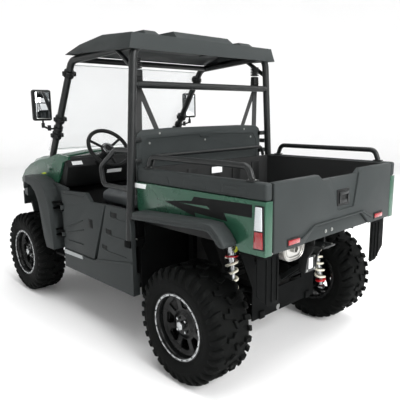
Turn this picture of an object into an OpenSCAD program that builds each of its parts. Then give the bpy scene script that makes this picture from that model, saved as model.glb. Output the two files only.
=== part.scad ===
// Side by side utility vehicle: tubular cab, tilting cargo bed, four steered
// and driven wheels. Millimetres, front faces -Y, left side is +X, ground is
// Z = 0. Modules are drawn about the ground point midway between the axles
// and then moved so that the overall box is centred on the origin.

/* [Overall] */
// Distance between the front and rear axles
wheelbase = 2000; // [1900:10:2450]
// Front axle to the front face of the bumper
front_overhang = 425; // [400:5:500]
// Rear axle to the outer face of the tailgate
rear_overhang = 515; // [480:5:620]
// Width over the rear tyres
overall_w = 1530; // [1440:10:1840]
// Ground to the lower flange of the roof
roof_z = 1860; // [1760:10:2240]

/* [Wheels] */
// Radius of the tyres over the tread
tyre_r = 330; // [275:5:350]
// Width of a front tyre
front_tyre_w = 229; // [190:1:240]
// Width of a rear tyre
rear_tyre_w = 279; // [230:1:300]
// How much further in the front tyres stand
front_inset = 32; // [0:1:60]
// Radius of the tyre's bead seat
bead_r = 178; // [150:1:190]
// Height of the rim flange above the bead seat
flange_h = 14; // [8:1:18]
// Wall of the rim's barrel
rim_wall = 6; // [4:1:8]
// Depth of the wheel disc behind the outer flange
disc_depth = 70; // [50:1:85]

/* [Running gear] */
// Radius of the wheel spindles
spindle_r = 20; // [16:1:26]
// Diameter of the suspension arm tubes
arm_d = 28; // [22:1:34]
// Outer diameter of a coil spring
spring_d = 74; // [60:1:84]
// Offset of the tie rods behind the front axle
tie_rod_y = 85; // [80:1:95]

/* [Cab] */
// Diameter of the cab's tubes
post_d = 50; // [40:1:60]
// Diameter of grab rails and side bars
rail_d = 32; // [26:1:38]
// Height of the floor
floor_z = 400; // [380:5:440]
// Lowest edge of the side sills
sill_z = 350; // [330:5:370]
// Half width over the side sills
sill_x = 690; // [660:5:720]
// Thickness of moulded body panels
panel_t = 12; // [8:1:16]
// Thickness of the doors
door_t = 30; // [20:1:34]
// Thickness of the windscreen
screen_t = 5; // [4:1:8]
// Diameter of the steering wheel over its rim
steer_d = 350; // [320:5:380]

/* [Cargo bed] */
// Outer length of the bed with its tailgate
bed_l = 990; // [900:10:1060]
// Height of the bed's top edge
bed_z = 1145; // [1060:5:1200]
// Underside of the bed
bed_base_z = 805; // [800:5:820]
// Half width inside the bed
bed_x = 565; // [540:5:580]
// Thickness of the bed's floor and walls
bed_t = 22; // [14:1:28]
// Thickness of the tailgate
gate_t = 42; // [30:1:50]
// Radius of the bed's hinge tube
bed_pin_r = 16; // [12:1:20]

/* [Hitch] */
// Radius of the hole for the tow ball
ball_hole_r = 10; // [8:0.5:13]
// Thickness of the tow plate
tow_plate_t = 10; // [8:1:14]

/* [Hidden] */
$fn = 48;

gap = 5;                 // clearance between pieces that move past each other
fit = 0.1;               // radial clearance of a pin in its bore
seat = 0.3;              // clearance where soft or curved pieces lie on others
front_y = -wheelbase / 2;
rear_y = wheelbase / 2;
nose_y = front_y - front_overhang;
tail_y = rear_y + rear_overhang;
mid_y = (front_overhang - rear_overhang) / 2;

// wheels
half_w = overall_w / 2;
front_face_x = half_w - front_inset;
hub_l = 60;
hub_r = 46;
disc_t = 14;
spindle_in = 50;
flange_r = bead_r + flange_h;
front_disc_x = front_face_x - disc_depth;
rear_disc_x = half_w - disc_depth;
knuckle_r = 26;
hub_gap = 8;
king_x = front_disc_x - hub_l - hub_gap - knuckle_r;
upright_x = rear_disc_x - hub_l - hub_gap - knuckle_r;
knuckle_h = 180;

// frame
rail_x = 230;
frame_t = 44;
frame_z0 = sill_z - 80;
frame_z1 = frame_z0 + frame_t;
plate_t = 8;
plate_dy = 150;
sleeve_x = 285;
sleeve_d = 36;
lower_z = tyre_r - 40;
upper_z = tyre_r + 120;
ball_lower_z = tyre_r - knuckle_h / 2 - 4;
ball_upper_z = tyre_r + knuckle_h / 2 + 4;
boss_h = 26;
prop_z = tyre_r - 40;
top_rail_x = 320;
top_rail_z = bed_base_z - gap - frame_t;
foot_y = front_y + 330;
foot_z = 878;
foot_x = 575;
tower_x = 345;
tower_z = 790;

// cab
post_y = tail_y - bed_l - post_d / 2 - 15;
post_low_z = 700;
post_low_x = 678;
post_top_x = 602;
cage_z = roof_z + 10;
pillar_z = roof_z - post_d / 2 - 5;
screen_top_y = post_y - 712;
screen_low_y = front_y + 351;
screen_low_z = 1152;
screen_low_x = 588;
screen_top_x = 612;
crossbar_z = roof_z - 222;
cage_bend = 90;
door_front_y = front_y + 655;
door_low_z = sill_z + 145;
gap_low_y = post_y - 395;
gap_top_y = post_y - 250;
seat_front_y = post_y - 605;
seat_back_y = post_y - 150;
seat_z = 840;
steer_c = [330, screen_low_y + 395, 1215];
steer_tilt = 38;
rim_bar = 30;
door_pin_r = 5;
hinge_z = [600, 800];
bumper_z = 800;
hood_pin_r = 5;
hood_lug_x = 180;
hood_pin = [screen_low_y - 60 - 628, 886];
door_pin = [sill_x + 9, door_front_y + 6];

// cargo bed
bed_front_y = tail_y - bed_l;
gate_y = tail_y - gate_t;
bed_floor_z = bed_base_z + bed_t;
bed_side_x = 640;
bed_hinge = [tail_y - 140, bed_base_z - bed_pin_r - 14];
flare_x = 742;
gate_pin = [tail_y - 12, bed_base_z + 8];
gate_pin_r = 6;

// ---------- shared shapes ----------

module left_right() {
    children();
    mirror([1, 0, 0]) children();
}

// a round bar from a to b
module bar(a, b, d) {
    v = b - a;
    translate(a)
        rotate([0, acos(v.z / norm(v)), atan2(v.y, v.x)])
            cylinder(h = norm(v), d = d);
}

function unit(v) = v / norm(v);

// a bend in a bar where its direction turns from u to w at p
module bend(p, u, w, r, d) {
    turn = acos(u * w);
    n = unit(cross(u, w));
    s = cross(n, u);
    c = p - u * (r * tan(turn / 2)) + s * r;
    multmatrix([[-s.x, u.x, n.x, c.x], [-s.y, u.y, n.y, c.y], [-s.z, u.z, n.z, c.z], [0, 0, 0, 1]])
        rotate_extrude(angle = turn) translate([r, 0]) circle(d = d + 1);
}

// a round bar bent at every inner point of its path, each bend of radius r
module bent_bar(path, d, r) {
    last = len(path) - 1;
    dirs = [for (i = [0 : last - 1]) unit(path[i + 1] - path[i])];
    cut = [for (i = [0 : last]) (i == 0 || i == last) ? 0
        : r * tan(acos(dirs[i - 1] * dirs[i]) / 2)];
    lap = [for (i = [0 : last]) (i == 0 || i == last) ? 0 : 2];
    for (i = [0 : last - 1])
        bar(path[i] + dirs[i] * (cut[i] - lap[i]), path[i + 1] - dirs[i] * (cut[i + 1] - lap[i + 1]), d);
    for (i = [1 : last - 1])
        bend(path[i], dirs[i - 1], dirs[i], r, d);
}

// a plate in the YZ plane, from x0 to x1
module side_plate(points, x0, x1) {
    translate([x0, 0, 0]) rotate([90, 0, 90]) linear_extrude(x1 - x0) polygon(points);
}

// a plate in the XZ plane, from y0 to y1
module cross_plate(points, y0, y1) {
    translate([0, y1, 0]) rotate([90, 0, 0]) linear_extrude(y1 - y0) polygon(points);
}

// an axis-aligned block between two corners
module block(a, b) {
    translate(a) cube(b - a);
}

// a box with its long edges along X and all edges softened by r
module soft_box(a, b, r) {
    hull() for (x = [a.x + r, b.x - r]) for (y = [a.y + r, b.y - r]) for (z = [a.z + r, b.z - r])
        translate([x, y, z]) sphere(r, $fn = 16);
}

// ---------- wheels ----------

module tyre_outline(w, r, inner, bead) {
    shoulder = 42;
    translate([inner, -w / 2 + shoulder]) square([r - inner, w - 2 * shoulder]);
    translate([inner + bead, -w / 2]) square([r - shoulder - inner - bead, w]);
    for (side = [-1, 1]) translate([r - shoulder, side * (w / 2 - shoulder)]) circle(shoulder);
}

// a tyre about the X axis, centred on the origin
module tyre(w) {
    color("dimgray") rotate([0, 90, 0]) rotate_extrude() difference() {
        tyre_outline(w, tyre_r, bead_r + fit, flange_h + 3);
        tyre_outline(w - 44, tyre_r - 26, bead_r - 1, flange_h + 20);
    }
}

// a rim about the X axis: outer flange at +w/2, disc set in, hub behind it
module rim(w) {
    face = w / 2 - disc_depth;
    seat_w = w / 2 - 10;
    color("black") difference() {
        union() {
            rotate([0, 90, 0]) rotate_extrude() {
                difference() {
                    translate([0, -seat_w]) square([bead_r, 2 * seat_w]);
                    translate([-1, -seat_w - 1]) square([bead_r - rim_wall + 1, 2 * seat_w + 2]);
                }
                for (side = [-1, 1]) translate([bead_r - rim_wall, side * seat_w - (side < 0 ? 0 : 9)])
                    square([flange_h + rim_wall, 9]);
            }
            translate([face - disc_t, 0, 0]) rotate([0, 90, 0]) cylinder(h = disc_t, r = bead_r - rim_wall + 1);
            translate([face - hub_l, 0, 0]) rotate([0, 90, 0]) cylinder(h = hub_l, r = hub_r);
            translate([face - 1, 0, 0]) rotate([0, 90, 0]) cylinder(h = 22, r = 30);
        }
        translate([face - hub_l - 1, 0, 0]) rotate([0, 90, 0]) cylinder(h = spindle_in + 1, r = spindle_r + fit);
        for (k = [0 : 7]) rotate([k * 45, 0, 0]) translate([face - disc_t - 1, 0, 0])
            rotate([90, 0, 90]) linear_extrude(disc_t + 2)
                polygon([[-20, 82], [20, 82], [38, 142], [-38, 142]]);
    }
}

module at_front(side) {
    translate([side * (front_face_x - front_tyre_w / 2), front_y, tyre_r]) mirror([side < 0 ? 1 : 0, 0, 0]) children();
}

module at_rear(side) {
    translate([side * (half_w - rear_tyre_w / 2), rear_y, tyre_r]) mirror([side < 0 ? 1 : 0, 0, 0]) children();
}

// ---------- running gear ----------

// a steering knuckle on the left: post, ball studs, spindle and steering arm
module knuckle() {
    color("dimgray") translate([king_x, front_y, tyre_r]) {
        translate([0, 0, -knuckle_h / 2]) cylinder(h = knuckle_h, r = knuckle_r);
        for (s = [-1, 1]) translate([0, 0, s * knuckle_h / 2 - (s < 0 ? 22 : 0)]) cylinder(h = 22, r = 8);
        rotate([0, 90, 0]) cylinder(h = knuckle_r + hub_gap + spindle_in - 2, r = spindle_r);
        rotate([0, 90, 0]) cylinder(h = knuckle_r + hub_gap - 3, r = hub_r - 8);
        block([-14, 0, -34], [14, tie_rod_y + 14, -14]);
    }
}

// a fixed rear upright on the left
module upright() {
    translate([upright_x, rear_y, tyre_r]) {
        block([-knuckle_r, -45, -knuckle_h / 2], [knuckle_r, 45, knuckle_h / 2]);
        rotate([0, 90, 0]) cylinder(h = knuckle_r + hub_gap + spindle_in - 2, r = spindle_r);
        rotate([0, 90, 0]) cylinder(h = knuckle_r + hub_gap - 3, r = hub_r - 8);
    }
}

// one A-arm on the left: sleeve along Y and two legs to the outer boss
module arm(axle_y, inner_z, outer_x, outer_z, leg_y, outer_y, boss, drop = 0) {
    color("black") difference() {
        union() {
            translate([sleeve_x, axle_y + plate_dy - plate_t / 2, inner_z]) rotate([90, 0, 0])
                cylinder(h = 2 * plate_dy - plate_t, d = sleeve_d);
            for (s = [-1, 1]) bar([sleeve_x, axle_y + s * leg_y, inner_z],
                [outer_x, axle_y + s * outer_y, outer_z - drop], arm_d);
            if (boss) translate([outer_x, axle_y, outer_z - boss_h / 2]) cylinder(h = boss_h, r = 20);
        }
        if (boss) translate([outer_x, axle_y, outer_z - boss_h]) cylinder(h = 2 * boss_h, r = 8 + fit);
    }
}

module front_arms() {
    lower = ball_lower_z - boss_h / 2 + 2;
    upper = ball_upper_z + boss_h / 2 - 2;
    left_right() {
        arm(front_y, lower_z, king_x, lower, 110, 0, true, 12);
        arm(front_y, upper_z, king_x, upper, 110, 0, true, -12);
        color("black") bar([420, front_y - 52, upper_z], [420, front_y + 52, upper_z], 20);
    }
}

module rear_arms() {
    color("black") left_right() {
        arm(rear_y, lower_z, upright_x - knuckle_r + 2, tyre_r - 70, 115, 30, false);
        arm(rear_y, upper_z, upright_x - knuckle_r + 2, tyre_r + 70, 80, 30, false);
        bar([450, rear_y + 60, lower_z - 10], [450, rear_y + 112, lower_z - 10], 24);
        upright();
    }
}

// a coil-over damper between two eyes; the coils are drawn as one sleeve
module shock(a, b, eye_w) {
    u = unit(b - a);
    l = norm(b - a);
    color("ivory") {
        bar(a, b, 26);
        bar(a + u * 45, a + u * (l - 95), spring_d);
        bar(a + u * (l - 95), a + u * (l - 30), 44);
        for (p = [a, b]) translate(p) rotate([90, 0, 0]) cylinder(h = eye_w, d = 36, center = true);
    }
}

front_shock = [[420, front_y, upper_z + 29], [318, front_y, tower_z - 20]];
rear_shock = [[450, rear_y + 130, lower_z - 10], [395, rear_y + 70, bed_base_z - 42]];

module front_shocks() {
    left_right() shock(front_shock[0], front_shock[1], 30);
}

module rear_shocks() {
    left_right() shock(rear_shock[0], rear_shock[1], 34);
}

// rack rod that slides across the frame, with an end over each steering arm
module steering_rods() {
    z = tyre_r;
    color("silver") {
        bar([-king_x, front_y + tie_rod_y, z], [king_x, front_y + tie_rod_y, z], 16);
        left_right() translate([king_x, front_y + tie_rod_y, z - 9]) cylinder(h = 24, r = 13);
    }
}

// front differential, rear gearbox, propeller shaft, rack housing, half shafts
module drivetrain() {
    reach = plate_dy - plate_t / 2 - seat;
    color("dimgray") {
        difference() {
            union() {
                block([-105, front_y - reach, tyre_r - 50], [105, front_y + 45, tyre_r + 70]);
                bar([-170, front_y + tie_rod_y, tyre_r], [170, front_y + tie_rod_y, tyre_r], 40);
                block([-50, front_y + 30, tyre_r - 12], [50, front_y + tie_rod_y, tyre_r + 12]);
            }
            bar([-171, front_y + tie_rod_y, tyre_r], [171, front_y + tie_rod_y, tyre_r], 16 + 2 * gap);
        }
        block([-120, rear_y - reach, tyre_r - 60], [120, rear_y + 100, tyre_r + 90]);
        left_right() {
            bar([100, front_y, tyre_r], [king_x - knuckle_r - 6, front_y, tyre_r], 26);
            for (x = [[108, 60], [king_x - knuckle_r - 76, 70]])
                translate([x[0], front_y, tyre_r]) rotate([0, 90, 0]) cylinder(h = x[1], d1 = 56, d2 = 66);
            bar([110, rear_y, tyre_r], [upright_x - knuckle_r - seat, rear_y, tyre_r], 28);
            for (x = [[123, 70], [upright_x - knuckle_r - 74, 70]])
                translate([x[0], rear_y, tyre_r]) rotate([0, 90, 0]) cylinder(h = x[1], d1 = 60, d2 = 70);
        }
        bar([60, front_y + 40, prop_z], [60, rear_y - 115, prop_z], 34);
        // foot of the bed's gas strut
        for (x = [-15, 15]) block([x - 4, strut_a.y - 16, tyre_r + 89], [x + 4, strut_a.y + 16, strut_a.z + 14]);
        bar([-18, strut_a.y, strut_a.z], [18, strut_a.y, strut_a.z], 12);
    }
}

// ---------- chassis ----------

// outline of the bulkhead plates that carry an axle's arms and shocks
function bulkhead(top_x, top_z) = [
    [-sleeve_x - 24, frame_z0], [sleeve_x + 24, frame_z0], [sleeve_x + 24, upper_z + 26],
    [top_x, top_z - 60], [top_x, top_z], [top_x - 70, top_z], [sleeve_x - 50, upper_z + 40],
    [-sleeve_x + 50, upper_z + 40], [-top_x + 70, top_z], [-top_x, top_z],
    [-top_x, top_z - 60], [-sleeve_x - 24, upper_z + 26]];

module bulkhead_plate(y, top_x, top_z) {
    difference() {
        cross_plate(bulkhead(top_x, top_z), y - plate_t / 2, y + plate_t / 2);
        translate([60, y, prop_z]) rotate([90, 0, 0]) cylinder(h = 40, d = 34 + 2 * gap, center = true);
        left_right() block([rail_x - frame_t / 2 - seat, y - 20, 0], [rail_x + frame_t / 2 + seat, y + 20, frame_z1 + seat]);
        block([-170, y - 20, tyre_r + 90], [170, y + 20, upper_z]);
    }
}

module frame_rails() {
    tail = rear_y + plate_dy + plate_t / 2 + 14;
    color("black") difference() {
        union() {
            left_right() {
                block([rail_x - frame_t / 2, nose_y + 140, frame_z0], [rail_x + frame_t / 2, tail, frame_z1]);
                // outriggers under the floor and at the cage feet
                for (y = [door_front_y + 40, gap_low_y - 30, post_y - 90]) {
                    block([rail_x - frame_t / 2, y - 20, frame_z0 + 2], [rail_x + frame_t / 2, y + 20, floor_z - 14 - seat]);
                    block([rail_x - 1, y - 20, floor_z - 50], [sill_x - 50 - seat, y + 20, floor_z - 14 - seat]);
                }
                block([rail_x - frame_t / 2, post_y - 28, frame_z0 + 2], [rail_x + frame_t / 2, post_y + 16, post_low_z]);
                block([rail_x - 1, post_y - 28, post_low_z - 40], [post_low_x + 24, post_y + 28, post_low_z]);
                // uprights under the windscreen pillars' cross tube
                bar([rail_x, foot_y, frame_z0 + 2], [rail_x, foot_y, foot_z - post_d / 2 - 1], frame_t - 4);
            }
            for (y = [nose_y + 140, foot_y - 20, gap_low_y, post_y - 28, post_y + 60])
                block([-rail_x, y, frame_z0], [rail_x, y + frame_t, frame_z1]);
            block([-rail_x, post_y - 28, post_low_z - 40], [rail_x, post_y + 16, post_low_z]);
        }
        bar([60, front_y, prop_z], [60, rear_y, prop_z], 34 + 2 * gap);
    }
}

module front_bulkheads() {
    pin = front_shock[1];
    color("black") {
        for (y = [front_y - plate_dy, front_y + plate_dy]) bulkhead_plate(y, tower_x, tower_z + 10);
        left_right() {
            bar([pin.x, front_y - plate_dy, pin.z], [pin.x, front_y - 15 - seat, pin.z], 20);
            bar([pin.x, front_y + 15 + seat, pin.z], [pin.x, front_y + plate_dy, pin.z], 20);
            block([tower_x - 60, front_y - plate_dy, tower_z + 9], [tower_x, front_y + plate_dy, tower_z + 17]);
        }
    }
}

module rear_subframe() {
    pin = rear_shock[1];
    tail = bed_hinge[0];
    top = top_rail_z + frame_t;
    start = post_y + 60;
    color("black") {
        for (y = [rear_y - plate_dy, rear_y + plate_dy]) bulkhead_plate(y, top_rail_x + 100, top_rail_z + 20);
        left_right() {
            block([top_rail_x - frame_t / 2, start, top_rail_z], [top_rail_x + frame_t / 2, tail - bed_pin_r + 4, top]);
            block([rail_x - frame_t / 2, start, frame_z1 + seat], [rail_x + frame_t / 2, start + frame_t, top]);
            block([rail_x, start, top_rail_z], [top_rail_x, start + frame_t, top]);
            bar([pin.x, rear_y + 70 + 17 + seat, pin.z], [pin.x, rear_y + plate_dy, pin.z], 20);
        }
        bar([-top_rail_x - 55, tail, bed_hinge[1]], [top_rail_x + 55, tail, bed_hinge[1]], 2 * bed_pin_r);
    }
}

module engine() {
    color("dimgray") block([-rail_x + 5, post_y + 110, frame_z1 + seat], [rail_x - 5, rear_y - plate_dy - 8, 690]);
}

module muffler() {
    end_y = bed_hinge[0] - bed_pin_r - 8;
    color("silver") translate([190, 0, bed_base_z - 80]) difference() {
        union() {
            hull() for (x = [-26, 26]) translate([x, end_y, 0]) rotate([90, 0, 0]) cylinder(h = 330, r = 68, $fn = 32);
            translate([20, end_y + 30, 6]) rotate([90, 0, 0]) cylinder(h = 50, r = 20);
            translate([0, end_y - 320, -10]) rotate([90, 0, 0]) cylinder(h = 180, r = 22);
            // hangers that reach the upper rail
            for (y = [end_y - 60, end_y - 280])
                block([60, y, 20], [top_rail_x - frame_t / 2 - 190 - seat, y + 24, 62]);
        }
        translate([20, end_y + 31, 6]) rotate([90, 0, 0]) cylinder(h = 60, r = 16);
    }
}

module tow_hitch() {
    y0 = bed_hinge[0] - 85;
    top = bed_hinge[1] - bed_pin_r - seat;
    brace_y = rear_y + plate_dy + plate_t / 2 + seat;
    color("dimgray") difference() {
        union() {
            for (x = [-55, 47]) side_plate([[y0, 545], [y0 + 45, 545], [y0 + 60, 640], [y0 + 100, 700], [y0 + 100, top],
                [y0, top]], x, x + 8);
            block([-55, y0 + 37, 545], [55, y0 + 45, 640]);
            block([-55, y0, 560], [55, y0 + 8, top]);
            block([-60, y0 + 50, 714], [60, y0 + 165, 714 + tow_plate_t]);
            for (x = [-50, 42]) side_plate([[y0 + 89, 680], [y0 + 130, 690], [y0 + 150, 715], [y0 + 89, 715]], x, x + 8);
            // braces to the rear axle's plate
            for (x = [-44, 36]) side_plate([[brace_y, upper_z + 5], [y0 + 4, 570], [y0 + 4, 604], [brace_y, upper_z + 38]],
                x, x + 8);
        }
        translate([0, y0 + 135, 700]) cylinder(h = 60, r = ball_hole_r);
    }
}

// ---------- cab ----------

module floor_pan() {
    front = front_y + 400;
    color("dimgray") {
        block([-sill_x + 50 + seat, front, floor_z - 14], [sill_x - 50 - seat, seat_front_y + 60 - seat, floor_z]);
        side_plate([[front, floor_z - 14], [front + 10, floor_z - 14], [front + 30, 900], [front + 20, 900]], -560, 560);
    }
}

module seat_box() {
    color("black") difference() {
        block([-575, seat_front_y + 60, floor_z - 14], [575, post_y - 60, seat_z - seat]);
        block([-560, seat_front_y + 75, floor_z - 15], [560, post_y - 75, seat_z - 15]);
    }
}

module seat_cushions() {
    y0 = seat_front_y;
    y1 = seat_back_y + 30;
    color("gray") left_right() side_plate([[y0 + 14, seat_z], [y1, seat_z], [y1, seat_z + 95], [y1 - 20, seat_z + 105],
        [y0 + 40, seat_z + 115], [y0 + 12, seat_z + 104], [y0, seat_z + 80], [y0, seat_z + 20]], 25, 555);
}

module seat_backs() {
    color("gray") left_right() hull() {
        soft_box([30, seat_back_y + 40, seat_z + 116], [500, seat_back_y + 100, seat_z + 150], 12);
        soft_box([60, post_y - 84, seat_z + 470], [485, post_y - 45 - seat, seat_z + 500], 12);
    }
}

module cab_back_panel() {
    color("dimgray") cross_plate([[-585, 900], [585, 900], [585, 1330], [540, 1368], [330, 1376],
        [-330, 1376], [-540, 1368], [-585, 1330]], post_y - 45, post_y - 29);
}

pillar_low = [screen_low_x, screen_low_y, screen_low_z];
pillar_top = [screen_top_x, screen_top_y, pillar_z];
function on_pillar(s) = pillar_low + unit(pillar_top - pillar_low) * s;
post_lean = (post_low_x - post_top_x) / (cage_z - post_low_z);
function post_x(z) = post_top_x + post_lean * (cage_z - z);

module roll_cage() {
    bar_x = post_x(crossbar_z);
    color("black") {
        bent_bar([[post_low_x, post_y, post_low_z + 2], [post_top_x, post_y, cage_z],
            [-post_top_x, post_y, cage_z], [-post_low_x, post_y, post_low_z + 2]], post_d, cage_bend);
        bar([-bar_x, post_y, crossbar_z], [bar_x, post_y, crossbar_z], post_d - 6);
        bar([-foot_x, foot_y, foot_z], [foot_x, foot_y, foot_z], post_d);
        bar([-screen_top_x + 10, screen_top_y + 60, pillar_z + 3], [screen_top_x - 10, screen_top_y + 60, pillar_z + 3], post_d - 10);
        left_right() {
            bent_bar([[post_top_x - 20, post_y - 10, cage_z], pillar_top, pillar_low, [foot_x - 4, foot_y, foot_z]],
                post_d, cage_bend);
            bar([post_top_x - 8, post_y - 190, cage_z - 10], [post_x(cage_z - 140), post_y, cage_z - 140], 30);
            // windscreen clamps
            for (s = screen_clamps) bar(on_pillar(s), on_pillar(s) + screen_out * (screen_off - seat), 24);
            // tabs that carry the cab's back panel
            for (z = [1180, 1310]) block([560, post_y - 29 + seat, z - 15], [post_x(z), post_y - 5, z + 15]);
            // retractor brackets of the seat belts
            block([520, post_y - post_d / 2 - 4.7, crossbar_z - 14], [562, post_y, crossbar_z + 14]);
        }
    }
}

// the roof's outer form drawn in by t: rim that drops to the rear, top that rises from the front edge
module roof_form(t) {
    r0 = post_y + 43 - t;
    r1 = post_y - 705 + t;
    drop = t == 0 ? 0 : 1;
    hull() {
        block([-660 + t, r1, roof_z + 4 - drop], [660 - t, r1 + 2, roof_z + 8]);
        block([-660 + t, r0 - 2, roof_z - 24 - drop], [660 - t, r0, roof_z - 20]);
        block([-645 + t, r1 + 15, roof_z + 12 - t], [645 - t, r1 + 17, roof_z + 14 - t]);
        block([-640 + t, r1 + 160, roof_z + 54 - t], [640 - t, r1 + 162, roof_z + 56 - t]);
        block([-628 + t, r1 + 420, roof_z + 86 - t], [628 - t, r1 + 422, roof_z + 88 - t]);
        block([-632 + t, r0 - 14, roof_z + 66 - t], [632 - t, r0 - 12, roof_z + 68 - t]);
    }
}

module roof_panel() {
    r0 = post_y + 43;
    r1 = post_y - 705;
    // top of the cage's side rail, and the roof's underside, at y
    function rail_top(y) = pillar_z + (cage_z - pillar_z) * (y - screen_top_y) / (post_y - 10 - screen_top_y)
        + post_d / 2 + 2 * seat;
    a = r1 + 220;
    b = r1 + 520;
    color("dimgray") {
        difference() {
            roof_form(0);
            roof_form(10);
        }
        // ribs that rest on the cage
        left_right() side_plate([[a, rail_top(a)], [b, rail_top(b)], [b, roof_z + 76], [a, roof_z + 58]], 585, 612);
        for (x = [[-560, -400], [-330, 230], [330, 470]]) hull() {
            block([x[0], r1 + 190, roof_z + 46], [x[1], r0 - 60, roof_z + 47]);
            block([x[0] + 25, r1 + 300, roof_z + 129 - abs(x[0] + x[1]) * 0.02],
                [x[1] - 25, r0 - 150, roof_z + 130 - abs(x[0] + x[1]) * 0.02]);
        }
    }
}

screen_off = post_d / 2 + 10;
screen_clamps = [190, 330, 700];
screen_dir = unit([0, screen_top_y - screen_low_y, pillar_z - screen_low_z]);
screen_out = [0, -screen_dir.z, screen_dir.y];
function on_screen(x, s, out) = [x, screen_low_y, screen_low_z] + screen_dir * s
    + screen_out * out;
screen_l = norm([0, screen_top_y - screen_low_y, pillar_z - screen_low_z]);

module windscreen() {
    a = on_screen(0, 18, screen_off);
    b = on_screen(0, screen_l - 40, screen_off);
    c = on_screen(0, screen_l - 40, screen_off + screen_t);
    d = on_screen(0, 18, screen_off + screen_t);
    color("lightblue", 0.4) side_plate([[a.y, a.z], [b.y, b.z], [c.y, c.z], [d.y, d.z]], -612, 612);
}

module side_mirrors() {
    foot = on_pillar(250);
    head = [719, foot.y + 15, foot.z + 170];
    color("black") left_right() {
        difference() {
            bar(on_pillar(232), on_pillar(268), post_d + 20);
            bar(on_pillar(100), on_pillar(400), post_d + 2 * seat);
            bar(on_pillar(220) + screen_out * 30, on_pillar(280) + screen_out * 30, 30);
        }
        bent_bar([foot + [post_d / 2 + 3, 0, 0], foot + [75, 0, 0], [head.x, head.y, foot.z + 20],
            [head.x, head.y, head.z - 100]], 14, 12);
        soft_box([head.x - 70, head.y - 30, head.z - 110], [head.x + 70, head.y + 22, head.z + 110], 18);
    }
}

module side_bars() {
    x = 640;
    color("black") left_right() difference() {
        bent_bar([[x, post_y - 10, 1248], [x, post_y - 175, 1248], [x, post_y - 355, 1130],
            [x, post_y - 330, 1010], [x, post_y - 130, 1010], [x + 16, post_y - 10, 1010]], rail_d, 50);
        bar([post_x(900), post_y, 900], [post_x(1400), post_y, 1400], post_d + 2 * seat);
    }
}

module seat_belts() {
    color("black") left_right() {
        block([515, post_y - post_d / 2 - 45, crossbar_z - 10], [567, post_y - post_d / 2 - 5, crossbar_z + 90]);
        side_plate([[post_y - 50, crossbar_z], [post_y - 66, 1010], [post_y - 63, 1010], [post_y - 47, crossbar_z]], 518, 566);
        block([512, post_y - 78, 960], [572, post_y - 56, 1014]);
    }
}

// ---------- front body ----------

// one slice of a crowned panel: half width hw, side edge at z0, crown at z1
module crown_slice(y, hw, z0, z1) {
    cross_plate([[-hw, z0], [hw, z0], [hw, z0 + (z1 - z0) * 0.35], [hw - 45, z0 + (z1 - z0) * 0.8],
        [hw * 0.55, z1 - 4], [hw * 0.25, z1], [-hw * 0.25, z1], [-hw * 0.55, z1 - 4],
        [-hw + 45, z0 + (z1 - z0) * 0.8], [-hw, z0 + (z1 - z0) * 0.35]], y, y + 1);
}

// a crowned panel of thickness t through slices of [y, half width, side z, crown z]
module crown_panel(slices, t) {
    difference() {
        hull() for (c = slices) crown_slice(c[0], c[1], c[2], c[3]);
        hull() for (c = slices) crown_slice(c[0] - 1, c[1] - t, c[2] - t, c[3] - t);
        hull() for (c = slices) crown_slice(c[0] + 1, c[1] - t, c[2] - t, c[3] - t);
    }
}

module hood() {
    y0 = screen_low_y - 60;
    color("darkgreen") {
        crown_panel([[y0, 588, 1070, 1165], [y0 - 200, 585, 1050, 1150], [y0 - 400, 560, 1010, 1115],
            [y0 - 550, 500, 955, 1050], [y0 - 640, 455, 880, 960]], panel_t);
        // lugs at the front that turn on the bumper's pins
        left_right() difference() {
            side_plate([[hood_pin[0] - 10, hood_pin[1] - 9], [hood_pin[0] + 9, hood_pin[1] - 9],
                [hood_pin[0] + 24, 956], [hood_pin[0] - 8, 954]], hood_lug_x - 7, hood_lug_x + 7);
            bar([hood_lug_x - 15, hood_pin[0], hood_pin[1]], [hood_lug_x + 15, hood_pin[0], hood_pin[1]], 2 * (hood_pin_r + fit));
        }
    }
}

module front_cowl() {
    y0 = screen_low_y - 42;
    color("darkgreen") difference() {
        union() {
            // crown below the windscreen
            crown_panel([[y0, 620, 1040, 1168], [y0 + 90, 620, 1040, 1190], [y0 + 185, 600, 1040, 1185]], panel_t);
            // side panels between fender and door
            left_right() side_plate([[y0 - 500, 900], [y0 - 40, 920], [y0 + 60, 905], [y0 + 130, 925],
                [y0 + 190, 1010], [y0 + 250, 1115], [y0 + 340, 1140], [y0 + 342, 1162], [y0 + 180, 1176], [y0, 1130],
                [y0 - 150, 1110], [y0 - 300, 1070], [y0 - 420, 1010], [y0 - 500, 935]], 600, 618);
        }
        left_right() {
            bar(pillar_low, on_pillar(300), post_d + 8);
            bar(pillar_low, [foot_x - 4, foot_y, foot_z], post_d + 8);
            translate(pillar_low) sphere(d = post_d + 10);
        }
    }
}

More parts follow.
